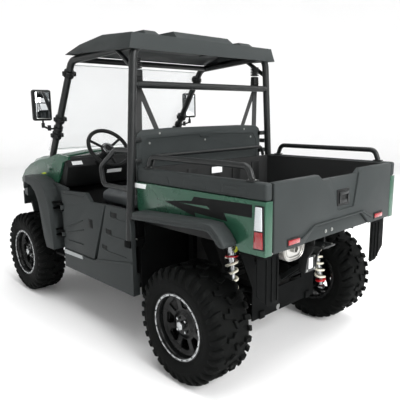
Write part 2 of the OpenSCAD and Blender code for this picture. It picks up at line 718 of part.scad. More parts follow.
module front_bumper() {
    color("black") {
        hull() {
            block([-430, nose_y, 700], [430, nose_y + 10, bumper_z]);
            block([-560, nose_y + 100, 680], [560, nose_y + 110, bumper_z]);
        }
        left_right() hull() {
            block([500, nose_y + 95, 775], [548, nose_y + 105, bumper_z + 68]);
            block([560, nose_y + 305, 785], [612, nose_y + 315, bumper_z + 85]);
        }
        // tabs up to the cowl's side panels
        left_right() block([601, nose_y + 275, bumper_z + 50], [612, nose_y + 295, bumper_z + 101]);
        cross_plate([[-470, 540], [470, 540], [500, 700], [-500, 700]], nose_y + 100, nose_y + 126);
        left_right() block([rail_x - 20, nose_y + 110, frame_z0], [rail_x + 20, nose_y + 140 - seat, 600]);
        // hood hinge ears with their pins
        left_right() {
            for (x = [hood_lug_x - 13, hood_lug_x + 13])
                block([x - 5, hood_pin[0] - 12, bumper_z - 1], [x + 5, hood_pin[0] + 12, hood_pin[1] + 10]);
            bar([hood_lug_x - 14, hood_pin[0], hood_pin[1]], [hood_lug_x + 14, hood_pin[0], hood_pin[1]], 2 * hood_pin_r);
        }
    }
}

module headlamps() {
    color("white") left_right() hull() {
        block([240, nose_y + 16, bumper_z + seat], [420, nose_y + 22, bumper_z + 66]);
        block([250, nose_y + 60, bumper_z + seat], [470, nose_y + 66, bumper_z + 76]);
    }
}

module front_fenders() {
    a = front_y;
    outer = half_w - 25;
    x0 = 618 + seat;
    color("black") left_right() {
        // band over the wheel; its front half runs inwards to the bumper
        difference() {
            side_plate([[a - 150, 868], [a - 130, 925], [a - 20, 975], [a + 140, 992], [a + 300, 994], [a + 400, 975],
                [a + 480, 915], [a + 530, 800], [a + 575, 500], [a + 570, 468], [a + 455, 468], [a + 420, 545],
                [a + 360, 800], [a + 310, 880], [a + 240, 925], [a + 140, 940], [a - 10, 925], [a - 80, 880],
                [a - 110, 850]], x0, outer);
            translate([0, 0, 800]) linear_extrude(300) polygon([[outer + 5, a - 300], [outer + 5, a + 165],
                [outer - 2, a + 150], [x0 + 12, a - 152], [x0 + 12, a - 300]]);
        }
        // inner panel between the band and the door
        side_plate([[a + 420, 960], [a + 560, 945], [door_front_y - 7, 930], [door_front_y - 7, sill_z + 120],
            [a + 520, sill_z + 120], [a + 480, 700]], x0, x0 + 22);
        // door hinge ears with their pins
        for (z = hinge_z) translate([0, 0, z]) {
            for (dz = [-26, 16]) block([x0 + 10, door_front_y - 190, dz], [door_pin.x + 7, door_front_y - 60, dz + 10]);
            for (dz = [-26, 16]) block([sill_x - 4, door_front_y - 110, dz], [door_pin.x + 7, door_pin.y + 5, dz + 10]);
            translate([door_pin.x, door_pin.y, -17]) cylinder(h = 34, r = door_pin_r);
        }
    }
}

module dashboard() {
    y0 = screen_low_y + 145;
    color("black") {
        side_plate([[y0, 1036], [y0, 1150], [y0 + 70, 1140], [y0 + 110, 1080], [y0 + 60, 930], [y0 - 60, 890], [y0 - 60, 1036]], -600 + seat, 600 - seat);
        // column up to the wheel
        u = [0, -cos(steer_tilt), -sin(steer_tilt)];
        bar(steer_c + u * (30 + seat), steer_c + u * 220, 60);
    }
}

module steering_wheel() {
    color("black") translate(steer_c) rotate([steer_tilt - 90, 0, 0]) {
        rotate_extrude() translate([steer_d / 2 - rim_bar / 2, 0]) circle(d = rim_bar);
        translate([0, 0, -30]) cylinder(h = 26, r = 52);
        for (k = [0 : 2]) rotate([0, 0, 90 + 120 * k]) bar([30, 0, -17], [steer_d / 2 - rim_bar / 2, 0, 0], 16);
    }
}

module side_sills() {
    y0 = door_front_y - gap + seat;
    y1 = post_y + 34;
    color("dimgray") left_right() {
        difference() {
            union() {
                block([sill_x - 50, y0, sill_z], [sill_x, y1, door_low_z - gap]);
                // rear side panel behind the door
                side_plate([[gap_low_y + 12, door_low_z - gap - 1], [y1, door_low_z - gap - 1], [y1, 800],
                    [y1 - 30, 880], [y1 - 60, 890], [gap_top_y + 12, 893]], sill_x - door_t, sill_x);
            }
            bar([post_x(post_low_z), post_y, post_low_z], [post_x(1000), post_y, 1000], post_d + 2 * seat);
            block([sill_x - 60, post_y - 28 - seat, post_low_z - 40 - seat], [sill_x + 20, post_y + 28 + seat, post_low_z + 2]);
        }
    }
}

module door() {
    color("dimgray") difference() {
        union() {
            side_plate([[door_front_y, door_low_z], [gap_low_y - 22, door_low_z], [gap_top_y - 4, 890],
                [gap_top_y - 180, 884], [gap_top_y - 240, 940], [door_front_y, 922]], sill_x - door_t, sill_x);
            for (z = hinge_z) {
                translate([door_pin.x, door_pin.y, z - 15]) cylinder(h = 30, r = 9);
                block([sill_x - 2, door_pin.y, z - 15], [door_pin.x, door_pin.y + 18, z + 15]);
            }
        }
        for (z = hinge_z) {
            translate([door_pin.x, door_pin.y, z - 40]) cylinder(h = 80, r = door_pin_r + fit);
            for (dz = [-31, 15]) block([sill_x - 9, door_front_y - 30, z + dz], [door_pin.x + 14, door_pin.y + 16, z + dz + 16]);
        }
    }
}

// ---------- cargo bed ----------

module bed_tub() {
    y1 = gate_y - 8;
    lug_x = top_rail_x + frame_t / 2 + 8;
    color("black") difference() {
        union() {
            block([-bed_x - bed_t, bed_front_y, bed_base_z], [bed_x + bed_t, y1, bed_floor_z]);
            block([-bed_x - bed_t, bed_front_y, bed_base_z], [bed_x + bed_t, bed_front_y + bed_t, bed_z]);
            left_right() block([bed_x, bed_front_y, bed_base_z], [bed_x + bed_t, y1, bed_z]);
            left_right() side_plate([[bed_hinge[0] - 30, bed_base_z + 1], [bed_hinge[0] + 30, bed_base_z + 1],
                [bed_hinge[0] + 24, bed_hinge[1] - 24], [bed_hinge[0] - 24, bed_hinge[1] - 24]], lug_x, lug_x + 10);
            left_right() block([11, strut_b.y - 15, strut_b.z - 12], [19, strut_b.y + 15, bed_base_z + 1]);
        }
        bar([-lug_x - 20, bed_hinge[0], bed_hinge[1]], [lug_x + 20, bed_hinge[0], bed_hinge[1]], 2 * (bed_pin_r + fit));
    }
}

module bed_sides() {
    a = rear_y;
    x0 = bed_x + bed_t + seat;
    color("darkgreen") left_right() difference() {
        side_plate([[bed_front_y, bed_z - 80], [bed_front_y, 900], [bed_front_y + 60, 860],
            [a - 320, 860], [a + 290, 880], [a + 350, bed_base_z], [tail_y - 5, bed_base_z], [tail_y - 5, bed_z - 80]],
            x0, bed_side_x);
        bar([x0 - 1, gate_pin[0], gate_pin[1]], [x0 + 16, gate_pin[0], gate_pin[1]], 2 * (gate_pin_r + fit));
    }
}

module bed_caps() {
    color("dimgray") left_right() block([bed_x + bed_t + seat, bed_front_y, bed_z - 80 + seat],
        [bed_side_x - 4, tail_y - 5, bed_z + 6]);
}

module bed_flares() {
    a = rear_y;
    color("black") left_right() side_plate([[a - 400, 905], [a + 250, 935], [a + 340, 850], [a + 330, 826],
        [a + 300, 832], [a + 240, 895], [a - 330, 862], [a - 400, 858]], bed_side_x + seat, flare_x);
}

module bed_rails() {
    zt = bed_z + 75;
    foot = bed_z + 6 + seat;
    x = (bed_x + bed_t + bed_side_x) / 2;
    front = bed_front_y + bed_t / 2;
    color("black") {
        left_right() {
            bent_bar([[x, bed_front_y + 90, foot + 7], [x, bed_front_y + 115, zt],
                [x, gate_y - 90, zt], [x, gate_y - 65, foot + 7]], rail_d, 30);
            for (y = [bed_front_y + 90, gate_y - 65]) block([x - 22, y - 26, foot], [x + 22, y + 26, foot + 8]);
        }
        bent_bar([[-bed_x + 40, front, bed_z + 5], [-bed_x + 60, front, zt - 8],
            [bed_x - 60, front, zt - 8], [bed_x - 40, front, bed_z + 5]], rail_d - 8, 26);
        left_right() block([bed_x - 66, front - 11, bed_z + seat], [bed_x - 14, front + 11, bed_z + 8]);
    }
}

// flaps that hang from the bed's floor behind the rear tyres
module mud_flaps() {
    color("black") left_right() {
        cross_plate([[466, 535], [480, 520], [545, 524], [634, 600], [634, bed_base_z - seat], [466, bed_base_z - seat]],
            gate_y - 20, gate_y - 14);
        block([466, gate_y - 44, bed_base_z - 8], [581, gate_y - 14, bed_base_z - seat]);
    }
}

module tail_lamps() {
    color("red") left_right() block([bed_side_x + seat, tail_y - 70, 838], [bed_side_x + 10, tail_y - 8, 1040]);
}

module tailgate() {
    x = bed_x + bed_t - 6;
    color("dimgray") bar([-x - 20, gate_pin[0], gate_pin[1]], [x + 20, gate_pin[0], gate_pin[1]], 2 * gate_pin_r);
    color("dimgray") cross_plate([[-x, bed_base_z + 2], [-334, bed_base_z + 2], [-240, 886], [240, 886], [334, bed_base_z + 2],
        [x, bed_base_z + 2], [x, bed_z + 4], [210, bed_z + 4], [170, bed_z - 24], [-170, bed_z - 24], [-210, bed_z + 4], [-x, bed_z + 4]],
        gate_y, tail_y);
}

strut_a = [0, rear_y, 450];
strut_b = [0, bed_hinge[0] - 250, bed_base_z - 20];

module strut_tube() {
    u = unit(strut_b - strut_a);
    color("silver") difference() {
        union() {
            bar(strut_a + u * 24, strut_a + u * 235, 34);
            bar(strut_a, strut_a + u * 30, 18);
            translate(strut_a) rotate([0, 90, 0]) cylinder(h = 20, d = 30, center = true);
        }
        bar(strut_a + u * 34, strut_a + u * 236, 18);
        bar(strut_a + [-11, 0, 0], strut_a + [11, 0, 0], 12 + 2 * fit);
    }
}

module strut_rod() {
    u = unit(strut_b - strut_a);
    color("silver") {
        bar(strut_a + u * 40, strut_b, 14);
        translate(strut_b) rotate([0, 90, 0]) cylinder(h = 20, d = 26, center = true);
    }
}

// ---------- assembly ----------

translate([0, mid_y, 0]) {
    frame_rails();
    front_bulkheads();
    rear_subframe();
    floor_pan();
    seat_box();
    seat_cushions();
    seat_backs();
    cab_back_panel();
    roll_cage();
    roof_panel();
    windscreen();
    side_mirrors();
    side_bars();
    seat_belts();
    hood();
    front_cowl();
    front_bumper();
    headlamps();
    front_fenders();
    dashboard();
    side_sills();
    engine();
    muffler();
    tow_hitch();
    drivetrain();
    front_arms();
    rear_arms();
    front_shocks();
    rear_shocks();
    door();  // door_left
    mirror([1, 0, 0]) door();  // door_right
    knuckle();  // knuckle_left
    mirror([1, 0, 0]) knuckle();  // knuckle_right
    steering_rods();
    steering_wheel();
    at_front(1) tyre(front_tyre_w);  // tyre_front_left
    at_front(-1) tyre(front_tyre_w);  // tyre_front_right
    at_rear(1) tyre(rear_tyre_w);  // tyre_rear_left
    at_rear(-1) tyre(rear_tyre_w);  // tyre_rear_right
    at_front(1) rim(front_tyre_w);  // rim_front_left
    at_front(-1) rim(front_tyre_w);  // rim_front_right
    at_rear(1) rim(rear_tyre_w);  // rim_rear_left
    at_rear(-1) rim(rear_tyre_w);  // rim_rear_right
    bed_tub();
    bed_sides();
    bed_caps();
    bed_flares();
    bed_rails();
    mud_flaps();
    tail_lamps();
    tailgate();
    strut_tube();
    strut_rod();
}
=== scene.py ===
"""Looks of the side by side utility vehicle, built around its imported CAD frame.

Places are millimetres about the ground point midway between the axles (front is -Y, left is +X, up is +Z);
at() turns them into the frame's metres.
"""
import math

import bpy
from mathutils import Matrix, Vector


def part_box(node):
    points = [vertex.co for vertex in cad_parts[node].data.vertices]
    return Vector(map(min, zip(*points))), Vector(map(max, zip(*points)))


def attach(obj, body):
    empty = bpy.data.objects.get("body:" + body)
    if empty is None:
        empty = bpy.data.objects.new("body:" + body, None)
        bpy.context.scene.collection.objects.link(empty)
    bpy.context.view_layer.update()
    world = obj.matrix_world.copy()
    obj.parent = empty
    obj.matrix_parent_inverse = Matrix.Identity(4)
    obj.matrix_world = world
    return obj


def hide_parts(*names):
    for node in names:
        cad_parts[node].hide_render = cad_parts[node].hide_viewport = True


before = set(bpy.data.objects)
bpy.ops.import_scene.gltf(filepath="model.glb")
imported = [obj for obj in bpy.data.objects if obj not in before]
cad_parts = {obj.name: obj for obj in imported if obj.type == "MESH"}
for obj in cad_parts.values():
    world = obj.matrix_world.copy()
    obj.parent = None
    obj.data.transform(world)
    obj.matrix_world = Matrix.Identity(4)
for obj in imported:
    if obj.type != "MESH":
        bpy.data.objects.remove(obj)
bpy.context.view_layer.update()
bpy.ops.object.select_all(action="DESELECT")


# ---------- places taken from the frame ----------

def mm(value):
    """Metres of the frame as millimetres."""
    return value * 1000


def middle(node):
    low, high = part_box(node)
    return (low + high) / 2


MID = (middle("tyre_front_left").y + middle("tyre_rear_left").y) / 2
FRONT = mm(middle("tyre_front_left").y - MID)
REAR = mm(middle("tyre_rear_left").y - MID)
AXLE_Z = mm(middle("tyre_rear_left").z)
NOSE = mm(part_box("front_bumper")[0].y - MID)
TAIL = mm(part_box("tailgate")[1].y - MID)
GATE = TAIL - 42
BED_FRONT = mm(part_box("bed_tub")[0].y - MID)
BED_TOP = mm(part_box("bed_tub")[1].z)
BED_BASE = mm(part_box("tailgate")[0].z) - 2
BED_SIDE = mm(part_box("bed_sides")[1].x)
POST_Y = BED_FRONT - 40
SILL_X = mm(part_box("side_sills")[1].x)
ROOF_Z = mm(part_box("roof_panel")[0].z) + 24
SIDES = (1, -1)
LEFT_RIGHT = {1: "left", -1: "right"}


def at(x, y, z):
    """A place in millimetres about the middle of the wheelbase, as a point of the frame."""
    return Vector((x / 1000, y / 1000 + MID, z / 1000))


# ---------- materials ----------

def linear(hexa):
    """An sRGB hex colour as the linear values that shaders take."""
    parts = [int(hexa[i:i + 2], 16) / 255 for i in (1, 3, 5)]
    return (*[c / 12.92 if c <= 0.04045 else ((c + 0.055) / 1.055) ** 2.4 for c in parts], 1)


def add(tree, kind, settings=(), **inputs):
    """One node: its settings, and for each input a value or the output that feeds it."""
    made = tree.nodes.new(kind)
    for name, value in dict(settings).items():
        setattr(made, name, value)
    for name, value in inputs.items():
        socket = made.inputs[int(name[1:]) if name[0] == "i" and name[1:].isdigit() else name.replace("_", " ")]
        if isinstance(value, bpy.types.NodeSocket):
            tree.links.new(value, socket)
        else:
            socket.default_value = value
    return made


def shader(name):
    """A new material with its tree emptied but for the principled shader."""
    made = bpy.data.materials.new(name)
    made.use_nodes = True
    return made, made.node_tree, made.node_tree.nodes["Principled BSDF"]


def surface(name, shades, patch, grain, depth, gloss, pattern="noise", **values):
    """A finish whose colour drifts between two shades over patch mm, with a grain of grain mm that
    stands depth mm high, and a roughness that wanders between the two gloss values."""
    made, tree, bsdf = shader(name)
    place = add(tree, "ShaderNodeTexCoord").outputs["Object"]
    drift = add(tree, "ShaderNodeTexNoise", Vector=place, Scale=1000 / patch, Detail=4.0, Roughness=0.6)
    mix = add(tree, "ShaderNodeMixRGB", Fac=drift.outputs["Fac"], Color1=linear(shades[0]), Color2=linear(shades[1]))
    rough = add(tree, "ShaderNodeMapRange", Value=drift.outputs["Fac"], From_Min=0.3, From_Max=0.7,
                To_Min=gloss[0], To_Max=gloss[1])
    if pattern == "cells":
        relief = add(tree, "ShaderNodeTexVoronoi", Vector=place, Scale=1000 / grain).outputs["Distance"]
    else:
        relief = add(tree, "ShaderNodeTexNoise", Vector=place, Scale=1000 / grain, Detail=3.0).outputs["Fac"]
    bump = add(tree, "ShaderNodeBump", Height=relief, Strength=0.6, Distance=depth / 1000)
    tree.links.new(mix.outputs["Color"], bsdf.inputs["Base Color"])
    tree.links.new(rough.outputs["Result"], bsdf.inputs["Roughness"])
    tree.links.new(bump.outputs["Normal"], bsdf.inputs["Normal"])
    for key, value in values.items():
        bsdf.inputs[key.replace("_", " ")].default_value = value
    return made


# painted ABS: deep green with a fine metal flake under clear lacquer
GREEN = surface("lacquered_abs_green", ("#1f4534", "#28523f"), 160, 1.5, 0.02, (0.24, 0.32), Metallic=0.25,
                Coat_Weight=0.35, Coat_Roughness=0.12, Specular_IOR_Level=0.3)
# injection moulded polypropylene: dark grey, pebbled and softly shining
MOULDED = surface("moulded_polypropylene", ("#2b2e2e", "#343838"), 220, 3.0, 0.25, (0.42, 0.54), "cells",
                  Specular_IOR_Level=0.1)
# the same plastic in the glossier black of inner trim
TRIM = surface("moulded_nylon_black", ("#101111", "#171818"), 120, 2.5, 0.1, (0.42, 0.55), Specular_IOR_Level=0.18)
# powder-coated steel tube: satin black with a light orange peel
POWDER = surface("powder_coated_steel", ("#121414", "#1b1d1d"), 90, 4.0, 0.12, (0.34, 0.44), Specular_IOR_Level=0.3)
# cast steel and aluminium of the running gear, dusty grey
CASTING = surface("sand_cast_iron", ("#171817", "#232322"), 40, 3.0, 0.3, (0.6, 0.75), Metallic=0.2,
                  Specular_IOR_Level=0.2)
# tyre rubber: carbon black, dry and slightly dusty
RUBBER = surface("tyre_rubber", ("#090a0a", "#121312"), 45, 2.5, 0.3, (0.6, 0.8), Specular_IOR_Level=0.05)
# expanded vinyl of the seats: leather grain
VINYL = surface("grained_vinyl", ("#434748", "#4c5052"), 130, 3.5, 0.35, (0.34, 0.46), "cells")
# machined aluminium of the rim's ring and nuts
MACHINED = surface("machined_aluminium", ("#9ea1a2", "#b9bbbc"), 25, 1.2, 0.05, (0.2, 0.34), Metallic=1.0)
# gloss black enamel of the wheels
ENAMEL = surface("gloss_enamel_black", ("#0e0f0f", "#141515"), 80, 5.0, 0.04, (0.2, 0.3), Specular_IOR_Level=0.15,
                 Coat_Weight=0.06)
# stainless muffler shell: brushed and a little heat-toned
STAINLESS = surface("brushed_stainless", ("#a9a8a4", "#c4c3bf"), 60, 1.5, 0.06, (0.28, 0.42), Metallic=1.0)
# zinc plated screws and brackets
ZINC = surface("zinc_plate", ("#8d8f8c", "#a9aaa7"), 15, 2.0, 0.08, (0.3, 0.45), Metallic=1.0)
# stove-enamelled coil springs and their collars
IVORY = surface("enamelled_spring_ivory", ("#ddd9c6", "#ebe7d6"), 30, 3.0, 0.08, (0.3, 0.4))
SCARLET = surface("anodised_scarlet", ("#a8121a", "#c0161f"), 30, 2.0, 0.05, (0.3, 0.4))
LIME = surface("anodised_lime", ("#b9bd2a", "#c9cd3a"), 30, 2.0, 0.05, (0.3, 0.4))
# moulded acrylic lenses
RED_LENS = surface("acrylic_red", ("#7d0a11", "#930e16"), 40, 4.0, 0.15, (0.08, 0.14), Coat_Weight=0.8)
CLEAR_LENS = surface("acrylic_frosted", ("#b9bec1", "#ccd0d2"), 40, 3.0, 0.15, (0.1, 0.18), Coat_Weight=0.8)
SILVERED = surface("silvered_glass", ("#e4e8ea", "#edf0f1"), 300, 50.0, 0.005, (0.02, 0.04), Metallic=1.0)
# printed vinyl film: black stripe and blank white labels
# the black film is also used as painted shade, darkening the door latch recess
BLACK_FILM_AND_SHADE = surface("black_film_and_painted_shade", ("#0b0c0c", "#111212"), 90, 2.0, 0.02, (0.45, 0.55),
                     Specular_IOR_Level=0.12)
WHITE_FILM = surface("printed_film_white", ("#d9dbdb", "#e6e8e8"), 60, 2.0, 0.02, (0.35, 0.45))
LIME_FILM = surface("printed_film_lime", ("#b5d11e", "#c6e028"), 60, 2.0, 0.02, (0.35, 0.45))
# the white label film greyed as painted shade, for the label on the rocker
SHADED_WHITE_FILM = surface("white_film_painted_shade", ("#8b8f8f", "#989c9c"), 60, 2.0, 0.02, (0.4, 0.5))
# black chassis paint under the body, matt; its colour is darker than the paint's own black, as painted shade for the
# underbody
UNDERBODY_BLACK_AND_SHADE = surface("chassis_paint_and_painted_shade", ("#090a0a", "#0f1010"), 70, 3.0, 0.15, (0.6, 0.75), Specular_IOR_Level=0.04)
# black polyester seat belt
WEBBING = surface("woven_polyester", ("#141515", "#1e1f1f"), 12, 1.6, 0.4, (0.7, 0.85), "cells", Sheen_Weight=0.3)


def clear_screen():
    """Hard-coated polycarbonate: clear, faintly grey, with sharp reflections."""
    made, tree, bsdf = shader("clear_polycarbonate")
    place = add(tree, "ShaderNodeTexCoord").outputs["Object"]
    haze = add(tree, "ShaderNodeTexNoise", Vector=place, Scale=9.0, Detail=3.0)
    rough = add(tree, "ShaderNodeMapRange", Value=haze.outputs["Fac"], To_Min=0.01, To_Max=0.05)
    tree.links.new(rough.outputs["Result"], bsdf.inputs["Roughness"])
    bsdf.inputs["Base Color"].default_value = linear("#dfe7ea")
    bsdf.inputs["Alpha"].default_value = 0.13
    bsdf.inputs["IOR"].default_value = 1.58
    return made


SCREEN = clear_screen()


# ---------- shaping ----------

def deselect():
    if bpy.context.mode != "OBJECT":
        bpy.ops.object.mode_set(mode="OBJECT")
    bpy.ops.object.select_all(action="DESELECT")


def only(piece):
    """Makes piece the one selected, active object."""
    deselect()
    piece.select_set(True)
    bpy.context.view_layer.objects.active = piece
    return piece


def edit(piece, action="SELECT"):
    """Opens the piece's mesh for editing with all of it, or none, selected."""
    only(piece)
    bpy.ops.object.mode_set(mode="EDIT")
    bpy.ops.mesh.select_all(action=action)
    return piece


def settle(piece):
    """Applies the piece's place, turn and size to its mesh."""
    only(piece)
    bpy.ops.object.transform_apply(location=True, rotation=True, scale=True)
    return piece


def modify(piece, kind, **settings):
    """Adds a modifier with its settings and applies it."""
    only(piece)
    made = piece.modifiers.new(kind.lower(), kind)
    for key, value in settings.items():
        setattr(made, key, value)
    bpy.ops.object.modifier_apply(modifier=made.name)
    return piece


def soften(piece, width=3.0, segments=2, angle=35):
    """Rounds the piece's sharp edges by width mm."""
    modify(piece, "BEVEL", width=width / 1000, segments=segments, limit_method="ANGLE",
           angle_limit=math.radians(angle), use_clamp_overlap=True)
    only(piece)
    bpy.ops.object.shade_smooth_by_angle(angle=math.radians(40))
    return piece


def tidy(piece):
    """Merges doubled points and turns every face outwards."""
    edit(piece)
    bpy.ops.mesh.remove_doubles(threshold=0.00002)
    bpy.ops.mesh.normals_make_consistent(inside=False)
    bpy.ops.object.mode_set(mode="OBJECT")
    return piece


def dress(piece, material, body="chassis", replaced=(), smooth=40):
    """Gives the finished piece its material and lets it ride on its body."""
    piece.data.materials.clear()
    piece.data.materials.append(material)
    only(piece)
    if smooth:
        bpy.ops.object.shade_smooth_by_angle(angle=math.radians(smooth))
    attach(piece, body)
    if replaced:
        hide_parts(*replaced)
    return piece


def loop(name, places):
    """A closed loop of edges through the places."""
    deselect()
    bpy.ops.mesh.primitive_circle_add(vertices=len(places), radius=1)
    piece = bpy.context.object
    piece.name = piece.data.name = name
    for vertex, place in zip(piece.data.vertices, places):
        vertex.co = place
    return piece


def plate(name, places, thrust, width=3.0, segments=2):
    """A flat outline filled and extruded by thrust mm, its edges rounded by width mm."""
    piece = edit(loop(name, places))
    bpy.ops.mesh.edge_face_add()
    bpy.ops.mesh.extrude_region_move(TRANSFORM_OT_translate={"value": Vector(thrust) / 1000})
    bpy.ops.mesh.select_all(action="SELECT")
    bpy.ops.mesh.normals_make_consistent(inside=False)
    bpy.ops.object.mode_set(mode="OBJECT")
    return soften(piece, width, segments) if width else piece


def side_plate(name, outline, x0, x1, width=3.0):
    """A plate whose outline of (y, z) lies in a side view, from x0 to x1."""
    return plate(name, [at(x0, y, z) for y, z in outline], (x1 - x0, 0, 0), width)


def cross_plate(name, outline, y0, y1, width=3.0):
    """A plate whose outline of (x, z) lies in an end view, from y0 to y1."""
    return plate(name, [at(x, y0, z) for x, z in outline], (0, y1 - y0, 0), width)


def block(name, low, high, width=3.0, segments=2):
    """A cube between two corners with rounded edges."""
    deselect()
    low, high = at(*low), at(*high)
    bpy.ops.mesh.primitive_cube_add(size=1, location=(low + high) / 2)
    piece = bpy.context.object
    piece.name = piece.data.name = name
    piece.scale = [abs(high[i] - low[i]) for i in range(3)]
    settle(piece)
    return soften(piece, width, segments) if width else piece


def rod(name, a, b, radius, sides=24, width=0.8):
    """A round rod between two places, its rims rounded."""
    deselect()
    a, b = at(*a), at(*b)
    bpy.ops.mesh.primitive_cylinder_add(vertices=sides, radius=radius / 1000, depth=(b - a).length,
                                        location=(a + b) / 2, rotation=(b - a).to_track_quat("Z", "Y").to_euler())
    piece = bpy.context.object
    piece.name = piece.data.name = name
    settle(piece)
    return soften(piece, width, 2, 60) if width else piece


def turned(name, profile, centre, steps=64, axis=(1, 0, 0)):
    """A closed profile of (along, radius) spun about an axis through centre."""
    centre, axis = at(*centre), Vector(axis)
    out = Vector((0, 0, 1)) if abs(axis.z) < 0.5 else Vector((1, 0, 0))
    piece = edit(loop(name, [centre + axis * (u / 1000) + out * (r / 1000) for u, r in profile]))
    bpy.ops.mesh.spin(steps=steps, angle=2 * math.pi, center=centre, axis=axis)
    bpy.ops.object.mode_set(mode="OBJECT")
    return tidy(piece)


def loft(name, rings):
    """A closed skin through rings of as many places each."""
    piece = edit(loop(name, rings[0]))
    bpy.ops.mesh.edge_face_add()
    count = len(rings[0])
    for ring in rings[1:]:
        bpy.ops.mesh.extrude_region_move()
        bpy.ops.object.mode_set(mode="OBJECT")
        fresh = [v for v in piece.data.vertices if v.select][-count:]
        for vertex, place in zip(fresh, ring):
            vertex.co = place
        bpy.ops.object.mode_set(mode="EDIT")
    bpy.ops.object.mode_set(mode="OBJECT")
    return tidy(piece)


def join(name, pieces):
    """One piece of several."""
    deselect()
    for piece in pieces:
        piece.select_set(True)
    bpy.context.view_layer.objects.active = pieces[0]
    if len(pieces) > 1:
        bpy.ops.object.join()
    made = bpy.context.object
    made.name = made.data.name = name
    return made


def copy(piece, name, move=(0, 0, 0), turn=None):
    """A copy with its own mesh, moved by millimetres, or turned by a matrix about the origin."""
    only(piece)
    bpy.ops.object.duplicate(linked=False)
    made = bpy.context.object
    made.name = made.data.name = name
    made.data.transform(turn if turn is not None else Matrix.Translation(Vector(move) / 1000))
    return made


def mirrored(piece, name):
    """The piece's copy on the vehicle's other side, its faces turned outwards again."""
    made = copy(piece, name, turn=Matrix.Scale(-1, 4, (1, 0, 0)))
    made.data.flip_normals()
    return made


def both_sides(piece):
    """The piece and its mirror image as one piece."""
    name = piece.name
    return join(name, [piece, mirrored(piece, name + "_far")])


def cut(piece, *tools):
    """Takes the tools' shapes out of the piece."""
    for tool in tools:
        modify(piece, "BOOLEAN", operation="DIFFERENCE", object=tool, solver="EXACT")
        bpy.data.objects.remove(tool)
    return piece


def tube(name, path, radius, bend=40, sides=16):
    """A round tube along the path, its corners bent with a radius of bend mm."""
    points = [Vector(p) for p in path]
    line = [points[0]]
    for before, corner, after in zip(points, points[1:], points[2:]):
        u, w = (corner - before).normalized(), (after - corner).normalized()
        turn = u.angle(w)
        reach = min(bend * math.tan(turn / 2), (corner - before).length * 0.49, (after - corner).length * 0.49)
        start, end = corner - u * reach, corner + w * reach
        steps = max(2, round(math.degrees(turn) / 9))
        for i in range(steps + 1):
            t = i / steps
            line.append(start * (1 - t) ** 2 + corner * 2 * t * (1 - t) + end * t ** 2)
    line.append(points[-1])
    deselect()
    bpy.ops.curve.primitive_bezier_curve_add()
    piece = bpy.context.object
    curve = piece.data
    curve.splines.clear()
    spline = curve.splines.new("POLY")
    spline.points.add(len(line) - 1)
    for point, place in zip(spline.points, line):
        point.co = (*at(*place), 1)
    curve.dimensions = "3D"
    curve.bevel_depth = radius / 1000
    curve.bevel_resolution = sides // 4 - 1
    curve.use_fill_caps = True
    only(piece)
    bpy.ops.object.convert(target="MESH")
    piece = bpy.context.object
    piece.name = piece.data.name = name
    return tidy(piece)


def coil(name, bottom, top, radius, wire, turns):
    """A coil spring between two places, wound by the screw modifier."""
    bottom, top = at(*bottom), at(*top)
    deselect()
    bpy.ops.mesh.primitive_circle_add(vertices=10, radius=wire / 1000, location=(radius / 1000, 0, 0),
                                      rotation=(math.pi / 2, 0, 0))
    piece = settle(bpy.context.object)
    piece.name = piece.data.name = name
    modify(piece, "SCREW", angle=2 * math.pi, screw_offset=(top - bottom).length / turns, iterations=turns,
           steps=20, render_steps=20, axis="Z")
    edit(piece, "DESELECT")
    bpy.ops.mesh.select_non_manifold()
    bpy.ops.mesh.edge_face_add()
    bpy.ops.object.mode_set(mode="OBJECT")
    piece.rotation_euler = (top - bottom).to_track_quat("Z", "Y").to_euler()
    piece.location = bottom
    settle(piece)
    return tidy(piece)


def screws(name, places, axis, size=7, head=4, material=ZINC, body="chassis"):
    """Hexagon screws with washers standing on a surface whose outward direction is axis."""
    deselect()
    bpy.ops.mesh.primitive_cylinder_add(vertices=6, radius=size / 1000, depth=head / 1000,
                                        location=(0, 0, head / 2000))
    top = settle(bpy.context.object)
    bpy.ops.mesh.primitive_cylinder_add(vertices=16, radius=size * 1.45 / 1000, depth=0.0016, location=(0, 0, 0.0004))
    washer = settle(bpy.context.object)
    master = join(name, [soften(top, 0.5, 1, 30), washer])
    turn = Vector(axis).to_track_quat("Z", "Y").to_matrix().to_4x4()
    made = [copy(master, name, turn=Matrix.Translation(at(*place)) @ turn) for place in places]
    bpy.data.objects.remove(master)
    return dress(join(name, made), material, body, smooth=30)


def refined(node, name, material, width=3.0, segments=2, body="chassis"):
    """The CAD solid's own shape with its edges rounded, standing for the node."""
    deselect()
    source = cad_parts[node]
    piece = bpy.data.objects.new(name, source.data.copy())
    bpy.context.scene.collection.objects.link(piece)
    edit(piece)
    bpy.ops.mesh.remove_doubles(threshold=0.00005)
    bpy.ops.mesh.dissolve_limited(angle_limit=math.radians(1))
    bpy.ops.object.mode_set(mode="OBJECT")
    piece.data.name = name
    soften(piece, width, segments, 30)
    return dress(piece, material, body, (node,))


# ---------- wheels ----------

def spun(piece, name, count, centre, first=0.0):
    """The piece copied count times round the axle through centre, the first turned by first pitches."""
    centre = at(*centre)
    there, back = Matrix.Translation(centre), Matrix.Translation(-centre)
    made = [copy(piece, name, turn=there @ Matrix.Rotation(2 * math.pi * (i + first) / count, 4, "X") @ back)
            for i in range(count)]
    bpy.data.objects.remove(piece)
    return join(name, made)


